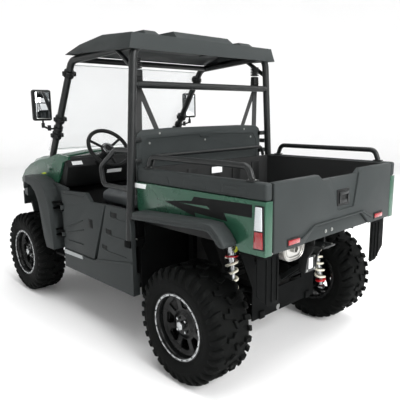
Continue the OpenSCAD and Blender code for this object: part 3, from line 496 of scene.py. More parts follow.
def tyre(name, centre, half):
    """Carcass with its tread: hooked lugs in two rows and ribs that run down both shoulders."""
    cx, cy, cz = centre
    k = half / 139.5
    outer = [(half - 24, 182), (half - 8, 198), (half - 1, 235), (half - 3, 272), (half - 16, 298), (half - 42, 311)]
    inner = [(half - 36, 190), (half - 22, 236), (half - 30, 280), (half - 54, 297)]
    profile = outer + [(0, 314)] + [(-u, r) for u, r in reversed(outer)]
    profile += [(-u, r) for u, r in inner] + [(0, 300)] + [(u, r) for u, r in reversed(inner)]
    parts = [turned(name, profile, centre, 72)]
    # raised rings on the side walls
    for u, r in ((half - 2.5, 248), (half - 6, 216)):
        for side in SIDES:
            parts.append(turned(name, [(side * (u - 1), r - 4), (side * (u + 2), r - 2), (side * (u + 2), r + 2),
                                       (side * (u - 1), r + 4)], centre, 72))
    hook = [(-8, -34), (14, -38), (22, -16), (58, -24), (64, 2), (18, 16), (6, 6)]
    for side, first in ((1, 0), (-1, 0.5)):
        lug = plate(name, [at(cx + side * k * u, cy + s, cz + 304) for u, s in hook], (0, 0, 24), 2.5, 1)
        parts.append(spun(lug, name, 16, centre, first))
    for side, first in ((1, 0.25), (-1, 0.75)):
        for start, step in ((half - 66, 0.0), (half - 44, 0.5)):
            path = [(start, 328, start, 304, 13, 0), (half - 34, 328, half - 36, 302, 15, 6),
                    (half - 14, 318, half - 24, 296, 15, 12), (half - 2, 298, half - 14, 286, 13, 17),
                    (half + 0.5, 266, half - 8, 262, 9, 20)]
            rings = []
            for ut, rt, ub, rb, hs, lean in path:
                rings.append([at(cx + side * u, cy + lean + s, cz + math.sqrt(max(r * r - (lean + s) ** 2, 0)))
                              for u, r, s in ((ut, rt, -hs), (ut, rt, hs), (ub, rb, hs + 3), (ub, rb, -hs - 3))])
            lug = soften(loft(name, rings), 2.5, 1)
            parts.append(spun(lug, name, 16, centre, first + step))
    return join(name, parts)


def rim(name, centre, half):
    """Deep dished rim: barrel with two flanges, and a set-in disc with eight windows."""
    cx, cy, cz = centre
    s, f = half - 10, half - 70
    barrel = turned(name, [(s, 186), (s - 1, 191), (s - 5, 192), (s - 9, 188), (s - 12, 178), (s - 40, 174),
                           (-s + 40, 174), (-s + 12, 178), (-s + 9, 188), (-s + 4, 192), (-s, 188), (-s + 1, 172),
                           (-s + 16, 167), (s - 60, 166), (s - 20, 168), (s - 8, 173)], centre, 80)
    disc = turned(name, [(f - 14, 21), (f + 12, 21), (f + 14, 24), (f + 14, 56), (f + 8, 66), (f + 1, 78), (f, 86),
                         (f, 138), (f + 6, 150), (f + 18, 162), (f + 20, 169), (f - 14, 169)], centre, 80)
    window = [(-18, 88), (18, 88), (30, 118), (34, 138), (26, 146), (-26, 146), (-34, 138), (-30, 118)]
    opening = plate(name, [at(cx + f - 30, cy + y, cz + z) for y, z in window], (70, 0, 0), 4)
    disc = cut(disc, spun(opening, name + "_windows", 8, centre))
    return join(name, [barrel, soften(disc, 2.5, 2, 30)])


def bright_work(name, centre, half):
    """Machined ring on the outer flange, lug nuts, hexagonal hub cap."""
    cx, cy, cz = centre
    s, f = half - 10, half - 70
    parts = [turned(name, [(s - 2, 174), (s + 3, 174.5), (s + 4, 176), (s + 4, 183), (s + 2.5, 185), (s - 2, 185)],
                    centre, 80)]
    nut = rod(name, (cx + f + 13, cy, cz + 44), (cx + f + 28, cy, cz + 44), 8, 6, 1.5)
    parts.append(spun(nut, name, 4, centre, 0.5))
    parts.append(rod(name, (cx + f + 12, cy, cz), (cx + f + 40, cy, cz), 26, 6, 4))
    return join(name, parts)


def ring_slots(name, centre, half):
    """Dark slots and screw heads let into the machined ring."""
    cx, cy, cz = centre
    s = half - 6
    slot = block(name, (cx + s - 1, cy - 13, cz + 177), (cx + s + 0.8, cy + 13, cz + 181), 0.6, 1)
    head = rod(name, (cx + s - 1, cy, cz + 179), (cx + s + 2.2, cy, cz + 179), 4.5, 8, 0.6)
    return join(name, [spun(slot, name, 12, centre), spun(head, name, 12, centre, 0.5)])


def wheels():
    for end, axle in (("front", FRONT), ("rear", REAR)):
        low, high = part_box("tyre_" + end + "_left")
        half = mm(high.x - low.x) / 2
        centre = (mm((high.x + low.x) / 2), axle, AXLE_Z)
        made = ((tyre, "tread", RUBBER, "tyre_"), (rim, "dish", ENAMEL, "rim_"),
                (bright_work, "bright", MACHINED, None), (ring_slots, "slots", POWDER, None))
        for build, word, finish, node in made:
            piece = build(word + "_" + end + "_left", centre, half)
            other = mirrored(piece, word + "_" + end + "_right")
            for one, side in ((piece, "left"), (other, "right")):
                dress(one, finish, "wheel_" + end + "_" + side, (node + end + "_" + side,) if node else ())


# ---------- suspension and running gear ----------

def bellows(name, a, b, radius, folds):
    """A rubber boot with folds between two places along X."""
    length = abs(b[0] - a[0])
    profile = []
    for i in range(folds):
        u = length * i / folds
        profile += [(u, radius - 7), (u + length / folds / 2, radius + 3)]
    profile += [(length, radius - 7), (length, 15), (0, 15)]
    return turned(name, profile, (min(a[0], b[0]), a[1], a[2]), 24)


def damper(name, a, b, eye, turns):
    """Coil-over damper on the left: spring, damper rod and body, red collars, eyes."""
    a, b = Vector(a), Vector(b)
    u, length = (b - a).normalized(), (b - a).length
    low, high = a + u * 52, a + u * (length - 98)
    dress(both_sides(coil(name + "_coils", low, high, 31, 7.5, turns)), IVORY, "chassis", (name,), 60)
    parts = [rod(name + "_body", a + u * 14, a + u * (length - 120), 14),
             rod(name, a + u * 60, a + u * (length - 30), 19),
             rod(name, b - u * 96, b - u * 28, 23)]
    for p in (a, b):
        parts.append(rod(name, (p.x, p.y - eye / 2, p.z), (p.x, p.y + eye / 2, p.z), 18))
    dress(both_sides(join(name + "_body", parts)), MACHINED)
    collars = [rod(name + "_collars", high + u * 1, high + u * 9, 36), rod(name, low - u * 9, low - u * 1, 36)]
    dress(both_sides(join(name + "_collars", collars)), SCARLET)


def running_gear():
    for node in ("frame_rails", "front_bulkheads", "rear_subframe", "front_arms", "rear_arms"):
        refined(node, node.replace("rear_", "back_").replace("front_", "fore_") + "_coated", UNDERBODY_BLACK_AND_SHADE, 2)
    for side in ("left", "right"):
        refined("knuckle_" + side, "steering_knuckle_" + side, CASTING, 2, 2, "knuckle_" + side)
    refined("steering_rods", "tie_rod", ZINC, 1, 2, "steering_rods")
    refined("drivetrain", "axle_cases", CASTING, 3)
    damper("rear_shocks", (450, REAR + 130, AXLE_Z - 50), (395, REAR + 70, BED_BASE - 42), 34, 7)
    damper("front_shocks", (420, FRONT, AXLE_Z + 149), (318, FRONT, AXLE_Z + 440), 30, 6)
    hose = tube("damper_hoses", [(395, REAR + 98, 700), (405, REAR + 120, 716), (408, REAR + 126, 745),
                                 (392, REAR + 120, 770)], 8, 14)
    dress(both_sides(hose), LIME)
    boots = []
    for y, inner, outer in ((FRONT, 108, 510), (REAR, 123, 540)):
        boots += [bellows("drive_boots", (inner + 2, y, AXLE_Z), (inner + 68, y, AXLE_Z), 38, 5),
                  bellows("drive_boots", (outer - 40, y, AXLE_Z), (outer, y, AXLE_Z), 38, 4)]
    dress(both_sides(join("drive_boots", boots)), RUBBER)
    refined("engine", "engine_block", CASTING, 6)
    fins = []
    for i in range(9):
        z = 450 + i * 22
        fins.append(block("engine_fins", (-215, 852, z), (215, 862, z + 7), 2, 1))
    dress(join("engine_fins", fins), CASTING)
    refined("strut_tube", "lift_tube", ZINC, 1, 2, "strut_tube")
    refined("strut_rod", "lift_rod", MACHINED, 0.6, 2, "strut_rod")


def exhaust():
    """Oval silencer with a rolled rim on its end."""
    refined("muffler", "silencer", STAINLESS, 5, 3)
    end = BED_FRONT + 850 - 24
    ring = []
    for r, y in ((62, end), (46, end)):
        path = [(190 + (26 if math.cos(a) > 0 else -26) + r * math.cos(a), y + 2, 725 + r * math.sin(a))
                for a in [math.radians(5 + 10 * i) for i in range(36)]]
        ring.append(tube("silencer_rims", path + [path[0]], 3, 4, 8))
    dress(join("silencer_rims", ring), STAINLESS)
    refined("tow_hitch", "hitch_bracket", POWDER, 2)
    dress(block("hitch_label", (-20, TAIL - 180.2, 562), (20, TAIL - 179, 628), 0.3, 1), WHITE_FILM)
    screws("hitch_screws", [(x, TAIL - 180, z) for x in (-38, 38) for z in (556, 630)], (0, 1, 0), 6, 4)
    screws("tongue_screws", [(x, TAIL - 75, 724) for x in (-45, 45)], (0, 0, 1), 6, 4)


# ---------- cargo bed ----------

def raised(name, outlines, x0, x1, width=2.0):
    """Low flat ribs in a side view, on both sides of the vehicle."""
    parts = [side_plate(name, outline, x0, x1, width) for outline in outlines]
    return both_sides(join(name, parts))


def cargo_bed():
    refined("bed_tub", "bed_liner", TRIM, 4, 2, "bed")
    # floor ribs
    ribs = [block("bed_floor_ribs", (-520 + i * 80, BED_FRONT + 60, 826), (-484 + i * 80, GATE - 40, 833), 3)
            for i in range(14)]
    dress(join("bed_floor_ribs", ribs), TRIM, "bed")
    front_wall = [block("bed_wall_ribs", (x - 40, BED_FRONT + 21, 880), (x + 40, BED_FRONT + 30, 1110), 4)
                  for x in (-420, -210, 0, 210, 420)]
    dress(join("bed_wall_ribs", front_wall), TRIM, "bed")
    # green sides
    refined("bed_sides", "bed_side_skins", GREEN, 5, 3, "bed")
    # black flash with a broken lower edge, and a blank label
    flash = [(788, 982), (959, 1006), (1010, 1010), (1030, 1036), (1430, 1046), (1430, 983), (1249, 980), (1272, 941),
             (1033, 951), (1040, 929)]
    inlay = [(909, 989), (1128, 998), (1150, 984), (1132, 984)]
    dress(raised("bed_side_flashes", [flash], BED_SIDE - 0.5, BED_SIDE + 0.5, 0), BLACK_FILM_AND_SHADE, "bed", smooth=0)
    dress(raised("bed_side_inlays", [inlay], BED_SIDE - 0.5, BED_SIDE + 0.8, 0), GREEN, "bed", smooth=0)
    label = [(500, 1030), (608, 1030), (618, 1058), (500, 1058)]
    dress(raised("bed_side_labels", [label], BED_SIDE - 0.5, BED_SIDE + 0.6, 0.3), WHITE_FILM, "bed")
    dress(block("bed_wall_label", (-62, BED_FRONT + 29, 1062), (38, BED_FRONT + 31, 1104), 0.3, 1), WHITE_FILM, "bed")
    refined("bed_caps", "bed_top_rails", MOULDED, 14, 4, "bed")
    pads = [[(BED_FRONT + 120 + i * 290, 1084), (BED_FRONT + 300 + i * 290, 1084), (BED_FRONT + 280 + i * 290, 1122),
             (BED_FRONT + 130 + i * 290, 1122)] for i in range(3)]
    dress(raised("bed_rail_pads", pads, BED_SIDE - 6, BED_SIDE - 1.5, 2), MOULDED, "bed")
    # rails on the bed
    zt, foot = BED_TOP + 75, BED_TOP + 6
    x = (mm(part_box("bed_tub")[1].x) + BED_SIDE) / 2
    parts = [both_sides(tube("hand_rails", [(x, BED_FRONT + 90, foot + 6), (x, BED_FRONT + 115, zt),
                                            (x, GATE - 90, zt),
                                            (x, GATE - 65, foot + 6)], 16, 55))]
    parts.append(tube("hand_rails", [(-525, BED_FRONT + 11, BED_TOP + 5), (-505, BED_FRONT + 11, zt - 8),
                                     (505, BED_FRONT + 11, zt - 8), (525, BED_FRONT + 11, BED_TOP + 5)], 12, 45))
    for y in (BED_FRONT + 90, GATE - 65):
        parts.append(both_sides(block("hand_rails", (x - 21, y - 26, foot + 0.3), (x + 21, y + 26, foot + 7), 3)))
    dress(join("hand_rails", parts), POWDER, "bed", ("bed_rails",))
    screws("rail_screws", [(s * x, y + d, foot + 7) for s in SIDES for y in (BED_FRONT + 90, GATE - 65)
                           for d in (-19, 19)], (0, 0, 1), 4, 3, ZINC, "bed")
    # flares: deep lip under a broad shoulder
    flare = [(596, 905), (650, 912), (1000, 930), (1180, 938), (1250, 936), (1296, 902), (1340, 850), (1338, 836),
             (1330, 827), (1302, 832), (1262, 868), (1232, 893), (1180, 896), (700, 866), (598, 859)]
    piece = side_plate("bed_arch_flares", flare, BED_SIDE + 0.5, 742, 12)
    dress(both_sides(piece), MOULDED, "bed", ("bed_flares",))
    lip = [(600, 866), (700, 874), (1180, 904), (1238, 902), (1268, 876), (1306, 840), (1322, 838), (1296, 874),
           (1244, 914), (1180, 914), (700, 884), (600, 876)]
    dress(raised("bed_arch_lips", [lip], 735, 745, 2.5), MOULDED, "bed")
    refined("mud_flaps", "splash_flaps", UNDERBODY_BLACK_AND_SHADE, 1.5, 2, "bed")
    ribs = []
    for x in (482, 524, 566):
        ribs.append(block("flap_ribs", (x - 3, GATE - 14.5, 540), (x + 3, GATE - 9, 770), 2))
    dress(both_sides(join("flap_ribs", ribs)), UNDERBODY_BLACK_AND_SHADE, "bed")
    lamps()


def lamps():
    """Tail lamps: a dark bezel on the green corner, frosted ribs above, red below."""
    bezel = [(1440, 832), (1508, 836), (1502, 1046), (1452, 1046)]
    dress(raised("tail_lamp_bezels", [bezel], BED_SIDE - 1, BED_SIDE + 6, 3), TRIM, "bed", ("tail_lamps",))
    upper = [(1449.5, 926), (1497, 928), (1494, 1040), (1457, 1040)]
    lower = [(1446, 840), (1501, 843), (1498, 923), (1450, 921)]
    dress(raised("tail_lamp_clears", [upper], BED_SIDE + 4, BED_SIDE + 10, 2.5), CLEAR_LENS, "bed")
    dress(raised("tail_lamp_reds", [lower], BED_SIDE + 4, BED_SIDE + 10, 2.5), RED_LENS, "bed")
    ribs = [[(1457 - i * 0.7, 1032 - i * 11), (1494, 1032 - i * 11), (1494, 1036 - i * 11),
             (1457 - i * 0.7, 1036 - i * 11)]
            for i in range(10)]
    dress(raised("tail_lamp_ribs", ribs, BED_SIDE + 9, BED_SIDE + 11.5, 1), CLEAR_LENS, "bed")


def gate():
    """Tailgate: skin with a sunk V and its latch, a sill strip in the lower arch, two reflectors."""
    x = 581
    outline = [(-x, BED_BASE + 2), (-334, BED_BASE + 2), (-240, 886), (240, 886), (334, BED_BASE + 2),
               (x, BED_BASE + 2),
               (x, BED_TOP + 4), (214, BED_TOP + 4), (174, BED_TOP - 24), (-174, BED_TOP - 24), (-214, BED_TOP + 4),
               (-x, BED_TOP + 4)]
    skin = cross_plate("gate_skin", outline, GATE, TAIL, 9)
    sunk = cross_plate("gate_vee", [(-34 - 110, 938), (30, 938), (150, 1200), (-174 - 30, 1200)], TAIL - 12,
                       TAIL + 20, 0)
    cut(skin, sunk)
    soften(skin, 4, 2, 40)
    dress(skin, MOULDED, "tailgate", ("tailgate",))
    ledge = [(-366, 846), (-248, 898), (248, 898), (366, 846), (352, 838), (244, 888), (-244, 888), (-352, 838)]
    dress(cross_plate("gate_ledge", ledge, TAIL - 3, TAIL + 8, 3), MOULDED, "tailgate")
    well = cross_plate("gate_latch_well", [(-106, 958), (20, 958), (28, 1050), (-96, 1050)], TAIL - 14, TAIL - 8, 3)
    dress(well, TRIM, "tailgate")
    grip = [block("gate_latch", (-88, TAIL - 10, 1018), (8, TAIL - 1, 1038), 4),
            block("gate_latch", (-80, TAIL - 10, 972),
            (0, TAIL - 4, 992), 3)]
    grip += [block("gate_latch", (-88, TAIL - 10, 972), (-76, TAIL - 1, 1030), 3),
             block("gate_latch", (-4, TAIL - 10, 972), (8, TAIL - 1, 1030), 3)]
    dress(join("gate_latch", grip), POWDER, "tailgate")
    for word, finish, grow, proud in (("bezels", TRIM, 8, 4), ("lenses", RED_LENS, 0, 9)):
        piece = block("reflector_" + word, (384 - grow, TAIL - 2, 832 - grow), (474 + grow, TAIL + proud, 856 + grow),
                      3)
        dress(both_sides(piece), finish, "tailgate")
    pins = both_sides(rod("gate_pins", (575, TAIL - 12, BED_BASE + 8), (601, TAIL - 12, BED_BASE + 8), 6))
    dress(pins, ZINC, "tailgate")
    # sill under the gate's arch, carried by the bed
    sill = cross_plate("bed_rear_sill", [(-330, BED_BASE + 2), (330, BED_BASE + 2), (238, 880), (-238, 880)],
                       GATE + 4,
                       TAIL - 14, 4)
    dress(sill, MOULDED, "bed")
    screws("sill_screws", [(x, TAIL - 14, 838) for x in (60, 120)], (0, 1, 0), 7, 5, ZINC, "bed")


# ---------- cab ----------

PILLAR_Y = FRONT + 351
LOW = Vector((588, PILLAR_Y, 1152))
TOP = Vector((612, POST_Y - 712, ROOF_Z - 30))
CAGE_Z = ROOF_Z + 10
BAR_Z = ROOF_Z - 222


def post_x(z):
    return 602 + (678 - 602) / (CAGE_Z - 700) * (CAGE_Z - z)


def on_pillar(s):
    return LOW + (TOP - LOW).normalized() * s


SLOPE = Vector((0, TOP.y - LOW.y, TOP.z - LOW.z)).normalized()
OUT = Vector((0, -SLOPE.z, SLOPE.y))


def cage():
    bar = BAR_Z
    parts = [tube("cage_tubes", [(678, POST_Y, 702), (602, POST_Y, CAGE_Z), (-602, POST_Y, CAGE_Z),
                                 (-678, POST_Y, 702)], 25, 95, 24),
             tube("cage_tubes", [(-post_x(bar), POST_Y, bar), (post_x(bar), POST_Y, bar)], 22, 40, 24),
             tube("cage_tubes", [(-575, FRONT + 330, 878), (575, FRONT + 330, 878)], 25, 40, 24),
             tube("cage_tubes", [(-600, TOP.y + 60, TOP.z + 3), (600, TOP.y + 60, TOP.z + 3)], 20, 40, 20)]
    sides = [tube("cage_tubes", [(582, POST_Y - 10, CAGE_Z), tuple(TOP), tuple(LOW), (571, FRONT + 330, 878)], 25, 95,
                  24),
             tube("cage_tubes", [(594, POST_Y - 190, CAGE_Z - 10), (post_x(CAGE_Z - 140), POST_Y, CAGE_Z - 140)], 15,
                  40, 16)]
    # weld beads where tubes meet
    sides.append(turned("cage_tubes", [(0, 21), (6, 24.5), (10, 21)], (post_x(bar) - 33, POST_Y, bar), 24))
    parts += [both_sides(piece) for piece in sides]
    for z in (1180, 1310):
        parts.append(both_sides(block("cage_tubes", (560, POST_Y - 28, z - 15), (post_x(z), POST_Y - 5, z + 15), 2)))
    parts.append(both_sides(block("cage_tubes", (520, POST_Y - 29.7, bar - 14), (562, POST_Y, bar + 14), 2)))
    dress(join("cage_tubes", parts), POWDER, "chassis", ("roll_cage",))
    # clamps of the windscreen: split collar, boss and knob
    clamps = []
    for s in (190, 330, 700):
        p, u = on_pillar(s), (TOP - LOW).normalized()
        clamps += [rod("screen_clamps", p - u * 24, p + u * 24, 36, 28, 4),
                   rod("screen_clamps", p, p + OUT * 34.4, 12, 20),
                   rod("screen_clamps", p + OUT * 40.4, p + OUT * 50, 14, 20, 2),
                   rod("screen_clamps", p - OUT * 30, p - OUT * 48, 11, 6, 1.5),
                   block("screen_clamps", (p.x - 52, p.y - 12, p.z - 16), (p.x - 24, p.y + 12, p.z + 16), 5),
                   block("screen_clamps", (p.x + 24, p.y - 12, p.z - 16), (p.x + 48, p.y + 12, p.z + 16), 5)]
    dress(both_sides(join("screen_clamps", clamps)), TRIM)
    # foot plates of the rear posts, with their screws
    feet = both_sides(block("post_feet", (post_x(712) - 40, POST_Y - 27, 700.5), (687, POST_Y + 27, 708), 2))
    dress(feet, POWDER)
    screws("post_screws", [(s * (post_x(712) - 32), POST_Y + 20, 708) for s in SIDES], (0, 0, 1), 5)


def canopy():
    """Roof: the moulded shell with its edges rounded."""
    refined("roof_panel", "roof_shell", MOULDED, 9, 4)


def screen():
    corners = [(-606, 24), (606, 24), (612, 30), (612, 740), (600, 752), (-600, 752), (-612, 740), (-612, 30)]
    length = (Vector((0, TOP.y - LOW.y, TOP.z - LOW.z))).length - 42
    places = []
    for x, s in corners:
        p = LOW + SLOPE * min(s, length) + OUT * 35
        places.append(at(x, p.y, p.z))
    pane = plate("screen_pane", places, OUT * 5, 1, 1)
    dress(pane, SCREEN, "chassis", ("windscreen",), 20)
    strips = []
    for s in (30, length - 14):
        p = LOW + SLOPE * s + OUT * 41
        q = p + SLOPE * 8
        strips.append(plate("screen_strips", [at(x, c.y, c.z) for x, c in ((-596, p), (596, p), (596, q), (-596, q))],
                            OUT * 2, 0.5, 1))
    dress(join("screen_strips", strips), WHITE_FILM)


def mirrors():
    foot = on_pillar(250)
    hx, hy, hz = 719, foot.y + 15, foot.z + 170
    shell = block("mirror_shells", (hx - 69.5, hy - 30, hz - 110), (hx + 69.5, hy + 20, hz + 110), 17, 5)
    edit(shell, "DESELECT")
    bpy.ops.object.mode_set(mode="OBJECT")
    for face in shell.data.polygons:
        face.select = face.normal.y > 0.95
    bpy.ops.object.mode_set(mode="EDIT")
    bpy.ops.mesh.inset(thickness=0.003)
    bpy.ops.mesh.extrude_region_move(TRANSFORM_OT_translate={"value": (0, -0.006, 0)})
    bpy.ops.object.mode_set(mode="OBJECT")
    dress(both_sides(shell), TRIM, "chassis", ("side_mirrors",))
    glass = block("mirror_glasses", (hx - 52, hy + 13, hz - 92), (hx + 52, hy + 16, hz + 92), 1)
    dress(both_sides(glass), SILVERED)
    for x0, x1, z0, z1 in ((-58, 58, 92, 98), (-58, 58, -98, -92)):
        trim = block("mirror_trims", (hx + x0, hy + 14, hz + z0), (hx + x1, hy + 18, hz + z1), 1)
        dress(both_sides(trim), ZINC)
    arm = [tube("mirror_arms", [(foot.x + 28, foot.y, foot.z), (foot.x + 75, foot.y, foot.z), (hx, hy, foot.z + 20),
                                (hx, hy, hz - 104)], 7, 14, 16),
           rod("mirror_arms", (foot.x + 70, foot.y, foot.z - 14), (foot.x + 70, foot.y, foot.z + 26), 13, 20, 3),
           rod("mirror_arms", (hx, hy, foot.z + 8), (hx, hy, foot.z + 44), 12, 20, 3)]
    u = (TOP - LOW).normalized()
    arm.append(rod("mirror_arms", foot - u * 18, foot + u * 18, 34, 28, 3))
    dress(both_sides(join("mirror_arms", arm)), TRIM)


def hip_bars():
    x = 640
    bar = tube("hip_bars", [(x, POST_Y - 22, 1248), (x, POST_Y - 175, 1248), (x, POST_Y - 355, 1130),
                            (x, POST_Y - 330, 1010), (x, POST_Y - 130, 1010), (x + 16, POST_Y - 22, 1010)], 16, 50,
               20)
    dress(both_sides(bar), POWDER, "chassis", ("side_bars",))


def belts():
    """Seat belts: covered reels on the posts, a lap strap and a shoulder strap each side."""
    bar = BAR_Z
    parts = [block("belt_reels", (515, POST_Y - 70, bar - 10), (567, POST_Y - 30, bar + 90), 8, 3),
             block("belt_reels", (512, POST_Y - 78, 960), (572, POST_Y - 56, 1014), 6, 3)]
    for z, count in ((bar + 4, 5), (bar + 96, 6)):
        for i in range(count):
            parts.append(turned("belt_reels", [(0, 20), (2, 31), (7, 31), (9, 20)], (543, POST_Y - 52, z + i * 11),
                                24,
                                (0, 0, 1)))
    dress(both_sides(join("belt_reels", parts)), TRIM, "chassis", ("seat_belts",))
    straps = [side_plate("belt_straps", [(POST_Y - 50, bar), (POST_Y - 66, 1010), (POST_Y - 63, 1010),
                                         (POST_Y - 47, bar)],
                         518, 566, 0)]
    straps.append(plate("belt_straps", [at(522, POST_Y - 55, bar), at(562, POST_Y - 55, bar),
                                        at(392, POST_Y - 53, 1300),
                                        at(352, POST_Y - 53, 1300)], (0, 2.5, 0), 0))
    dress(both_sides(join("belt_straps", straps)), WEBBING, "chassis", smooth=0)


def pad(name, source):
    """A vinyl cushion blown up from a slightly smaller shape by the cloth simulation."""
    only(source)
    modify(source, "REMESH", mode="VOXEL", voxel_size=0.011)
    before = [v.co.copy() for v in source.data.vertices]
    cloth = source.modifiers.new("cloth", "CLOTH")
    cloth.settings.use_pressure = True
    cloth.settings.uniform_pressure_force = 4
    cloth.settings.effector_weights.gravity = 0
    cloth.settings.tension_stiffness = cloth.settings.compression_stiffness = 20
    for number in range(1, 21):
        bpy.context.scene.frame_set(number)
    only(source)
    bpy.ops.object.modifier_apply(modifier=cloth.name)
    for vertex, rest in zip(source.data.vertices, before):
        move = vertex.co - rest
        if move.length > 0.022:
            vertex.co = rest + move.normalized() * 0.022
    bpy.context.scene.frame_set(1)
    modify(source, "SMOOTH", factor=0.5, iterations=4)
    modify(source, "SUBSURF", levels=1, render_levels=1)
    source.name = source.data.name = name
    return source


def seats():
    low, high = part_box("seat_cushions")
    for side in SIDES:
        word = LEFT_RIGHT[side]
        base = block("seat_base_" + word, (48, mm(low.y - MID) + 22, 850), (533, mm(high.y - MID) - 20, 934), 26, 4)
        base = on_side(base, side)
        dress(pad("seat_squab_" + word, base), VINYL, "chassis",
              ("seat_cushions",) if side > 0 else (), 60)
        rings = []
        for y0, y1, z, x0, x1 in ((POST_Y - 92, POST_Y - 66, 972, 60, 478),
                                  (POST_Y - 100, POST_Y - 62, 1090, 56, 484),
                                  (POST_Y - 92, POST_Y - 62, 1220, 62, 478),
                                  (POST_Y - 84, POST_Y - 64, 1314, 84, 460)):
            rings.append([at(x0, y0, z), at(x1, y0, z), at(x1, y1, z), at(x0, y1, z)])
        rest = soften(loft("seat_rest_" + word, rings), 8, 3)
        rest = on_side(rest, side)
        dress(pad("seat_rest_" + word, rest), VINYL, "chassis",
              ("seat_backs",) if side > 0 else (), 60)
    refined("seat_box", "seat_pedestal", TRIM, 5)


def on_side(piece, side):
    """The left piece as it is for the left side, or moved over to the right."""
    if side < 0:
        piece.data.transform(Matrix.Scale(-1, 4, (1, 0, 0)))
        piece.data.flip_normals()
    return piece


def back_panel():
    """Panel behind the seats: a rolled border round a sunk field, and its screws."""
    outline = [(-585, 900), (585, 900), (585, 1322), (572, 1348), (538, 1368), (330, 1376), (-330, 1376),
               (-538, 1368),
               (-572, 1348), (-585, 1322)]
    panel = cross_plate("rear_panel", outline, POST_Y - 45, POST_Y - 29, 6)
    field = [(-530, 1000), (530, 1000), (540, 1180), (540, 1260), (500, 1312), (60, 1326), (40, 1304), (-40, 1304),
             (-60, 1326), (-500, 1312), (-540, 1260), (-540, 1180)]
    cut(panel, cross_plate("rear_panel_field", field, POST_Y - 33, POST_Y - 20, 0))
    soften(panel, 1.5, 2, 40)
    dress(panel, MOULDED, "chassis", ("cab_back_panel",))
    screws("rear_panel_screws", [(x, POST_Y - 33, 1285) for x in (-480, 0, 480)] +
           [(x, POST_Y - 29, 1344) for x in (-400, 400)], (0, 1, 0), 5, 3)


# ---------- doors and sides ----------

def doors():
    crease = [[(-294, 662), (-60, 748), (-60, 741), (-292, 655)], [(-312, 617), (-50, 682), (-50, 675), (-310, 610)],
              [(-276, 566), (-70, 574), (-70, 567), (-276, 559)], [(-330, 902), (-22, 920), (-22, 913), (-330, 895)]]
    for side in SIDES:
        word = LEFT_RIGHT[side]
        refined("door_" + word, "door_skin_" + word, MOULDED, 5, 3, "door_" + word)
        ribs = join("door_creases_" + word, [side_plate("door_creases", c, SILL_X - 1, SILL_X + 6,
                                                        3) for c in crease])
        ribs = on_side(ribs, side)
        dress(ribs, MOULDED, "door_" + word)
        # the latch and its paddle take the black film so the latch recess reads dark: painted shade in the recess
        latch = block("door_latch_" + word, (SILL_X - 1, 18, 708), (SILL_X + 2.5, 70, 770), 2)
        paddle = block("door_paddle", (SILL_X - 1, 30, 716), (SILL_X + 5, 58, 762), 4)
        frame_part = join("door_latch_" + word, [latch, paddle])
        frame_part = on_side(frame_part, side)
        dress(frame_part, BLACK_FILM_AND_SHADE, "door_" + word)


def sills():
    refined("side_sills", "rocker_panels", MOULDED, 5, 3)
    lips = [[(-344, 472), (80, 476), (110, 489), (516, 556), (516, 572), (112, 505), (78, 488), (-344, 488)]]
    dress(raised("rocker_lips", lips, SILL_X - 1, SILL_X + 7, 4), MOULDED)
    # the rocker label uses the greyed white film: painted shade
    labels = [[(-338, 456), (-80, 462), (-80, 487), (-338, 487)]]
    dress(raised("rocker_labels", labels, SILL_X - 1, SILL_X + 7.6, 0.3), SHADED_WHITE_FILM)
    ribs = [[(312, 812), (457, 812), (457, 820), (312, 820)], [(262, 694), (500, 694), (500, 702), (262, 702)],
            [(205, 582), (455, 582), (455, 590), (205, 590)]]
    dress(raised("side_panel_creases", ribs, SILL_X - 1, SILL_X + 4, 2.5), MOULDED)
    slots = [[(300, 826), (366, 826), (366, 856), (300, 856)], [(240, 707), (298, 707), (298, 736), (240, 736)],
             [(188, 595), (238, 595), (238, 621), (188, 621)]]
    dress(raised("side_panel_slots", slots, SILL_X - 1, SILL_X + 0.8, 0.5), BLACK_FILM_AND_SHADE)
    frames = []
    for s in slots:
        y0, z0, y1, z1 = s[0][0], s[0][1], s[2][0], s[2][1]
        frames += [[(y0 - 5, z0 - 5), (y1 + 5, z0 - 5), (y1 + 5, z0), (y0 - 5, z0)],
                   [(y0 - 5, z0), (y0, z0), (y0, z1 + 5), (y0 - 5, z1 + 5)]]
    dress(raised("side_panel_frames", frames, SILL_X - 1, SILL_X + 4, 1.5), MOULDED)
    refined("floor_pan", "floor_liner", TRIM, 3)
    # a near-black plate across the rear wheel well that makes the well read dark: painted shade inside the well
    liner = cross_plate("arch_shade_plates", [(262, 330), (636, 352), (636, 640), (600, 690), (600, 796), (262, 796)],
                        BED_FRONT + 3, BED_FRONT + 13, 3)
    dress(both_sides(liner), UNDERBODY_BLACK_AND_SHADE)


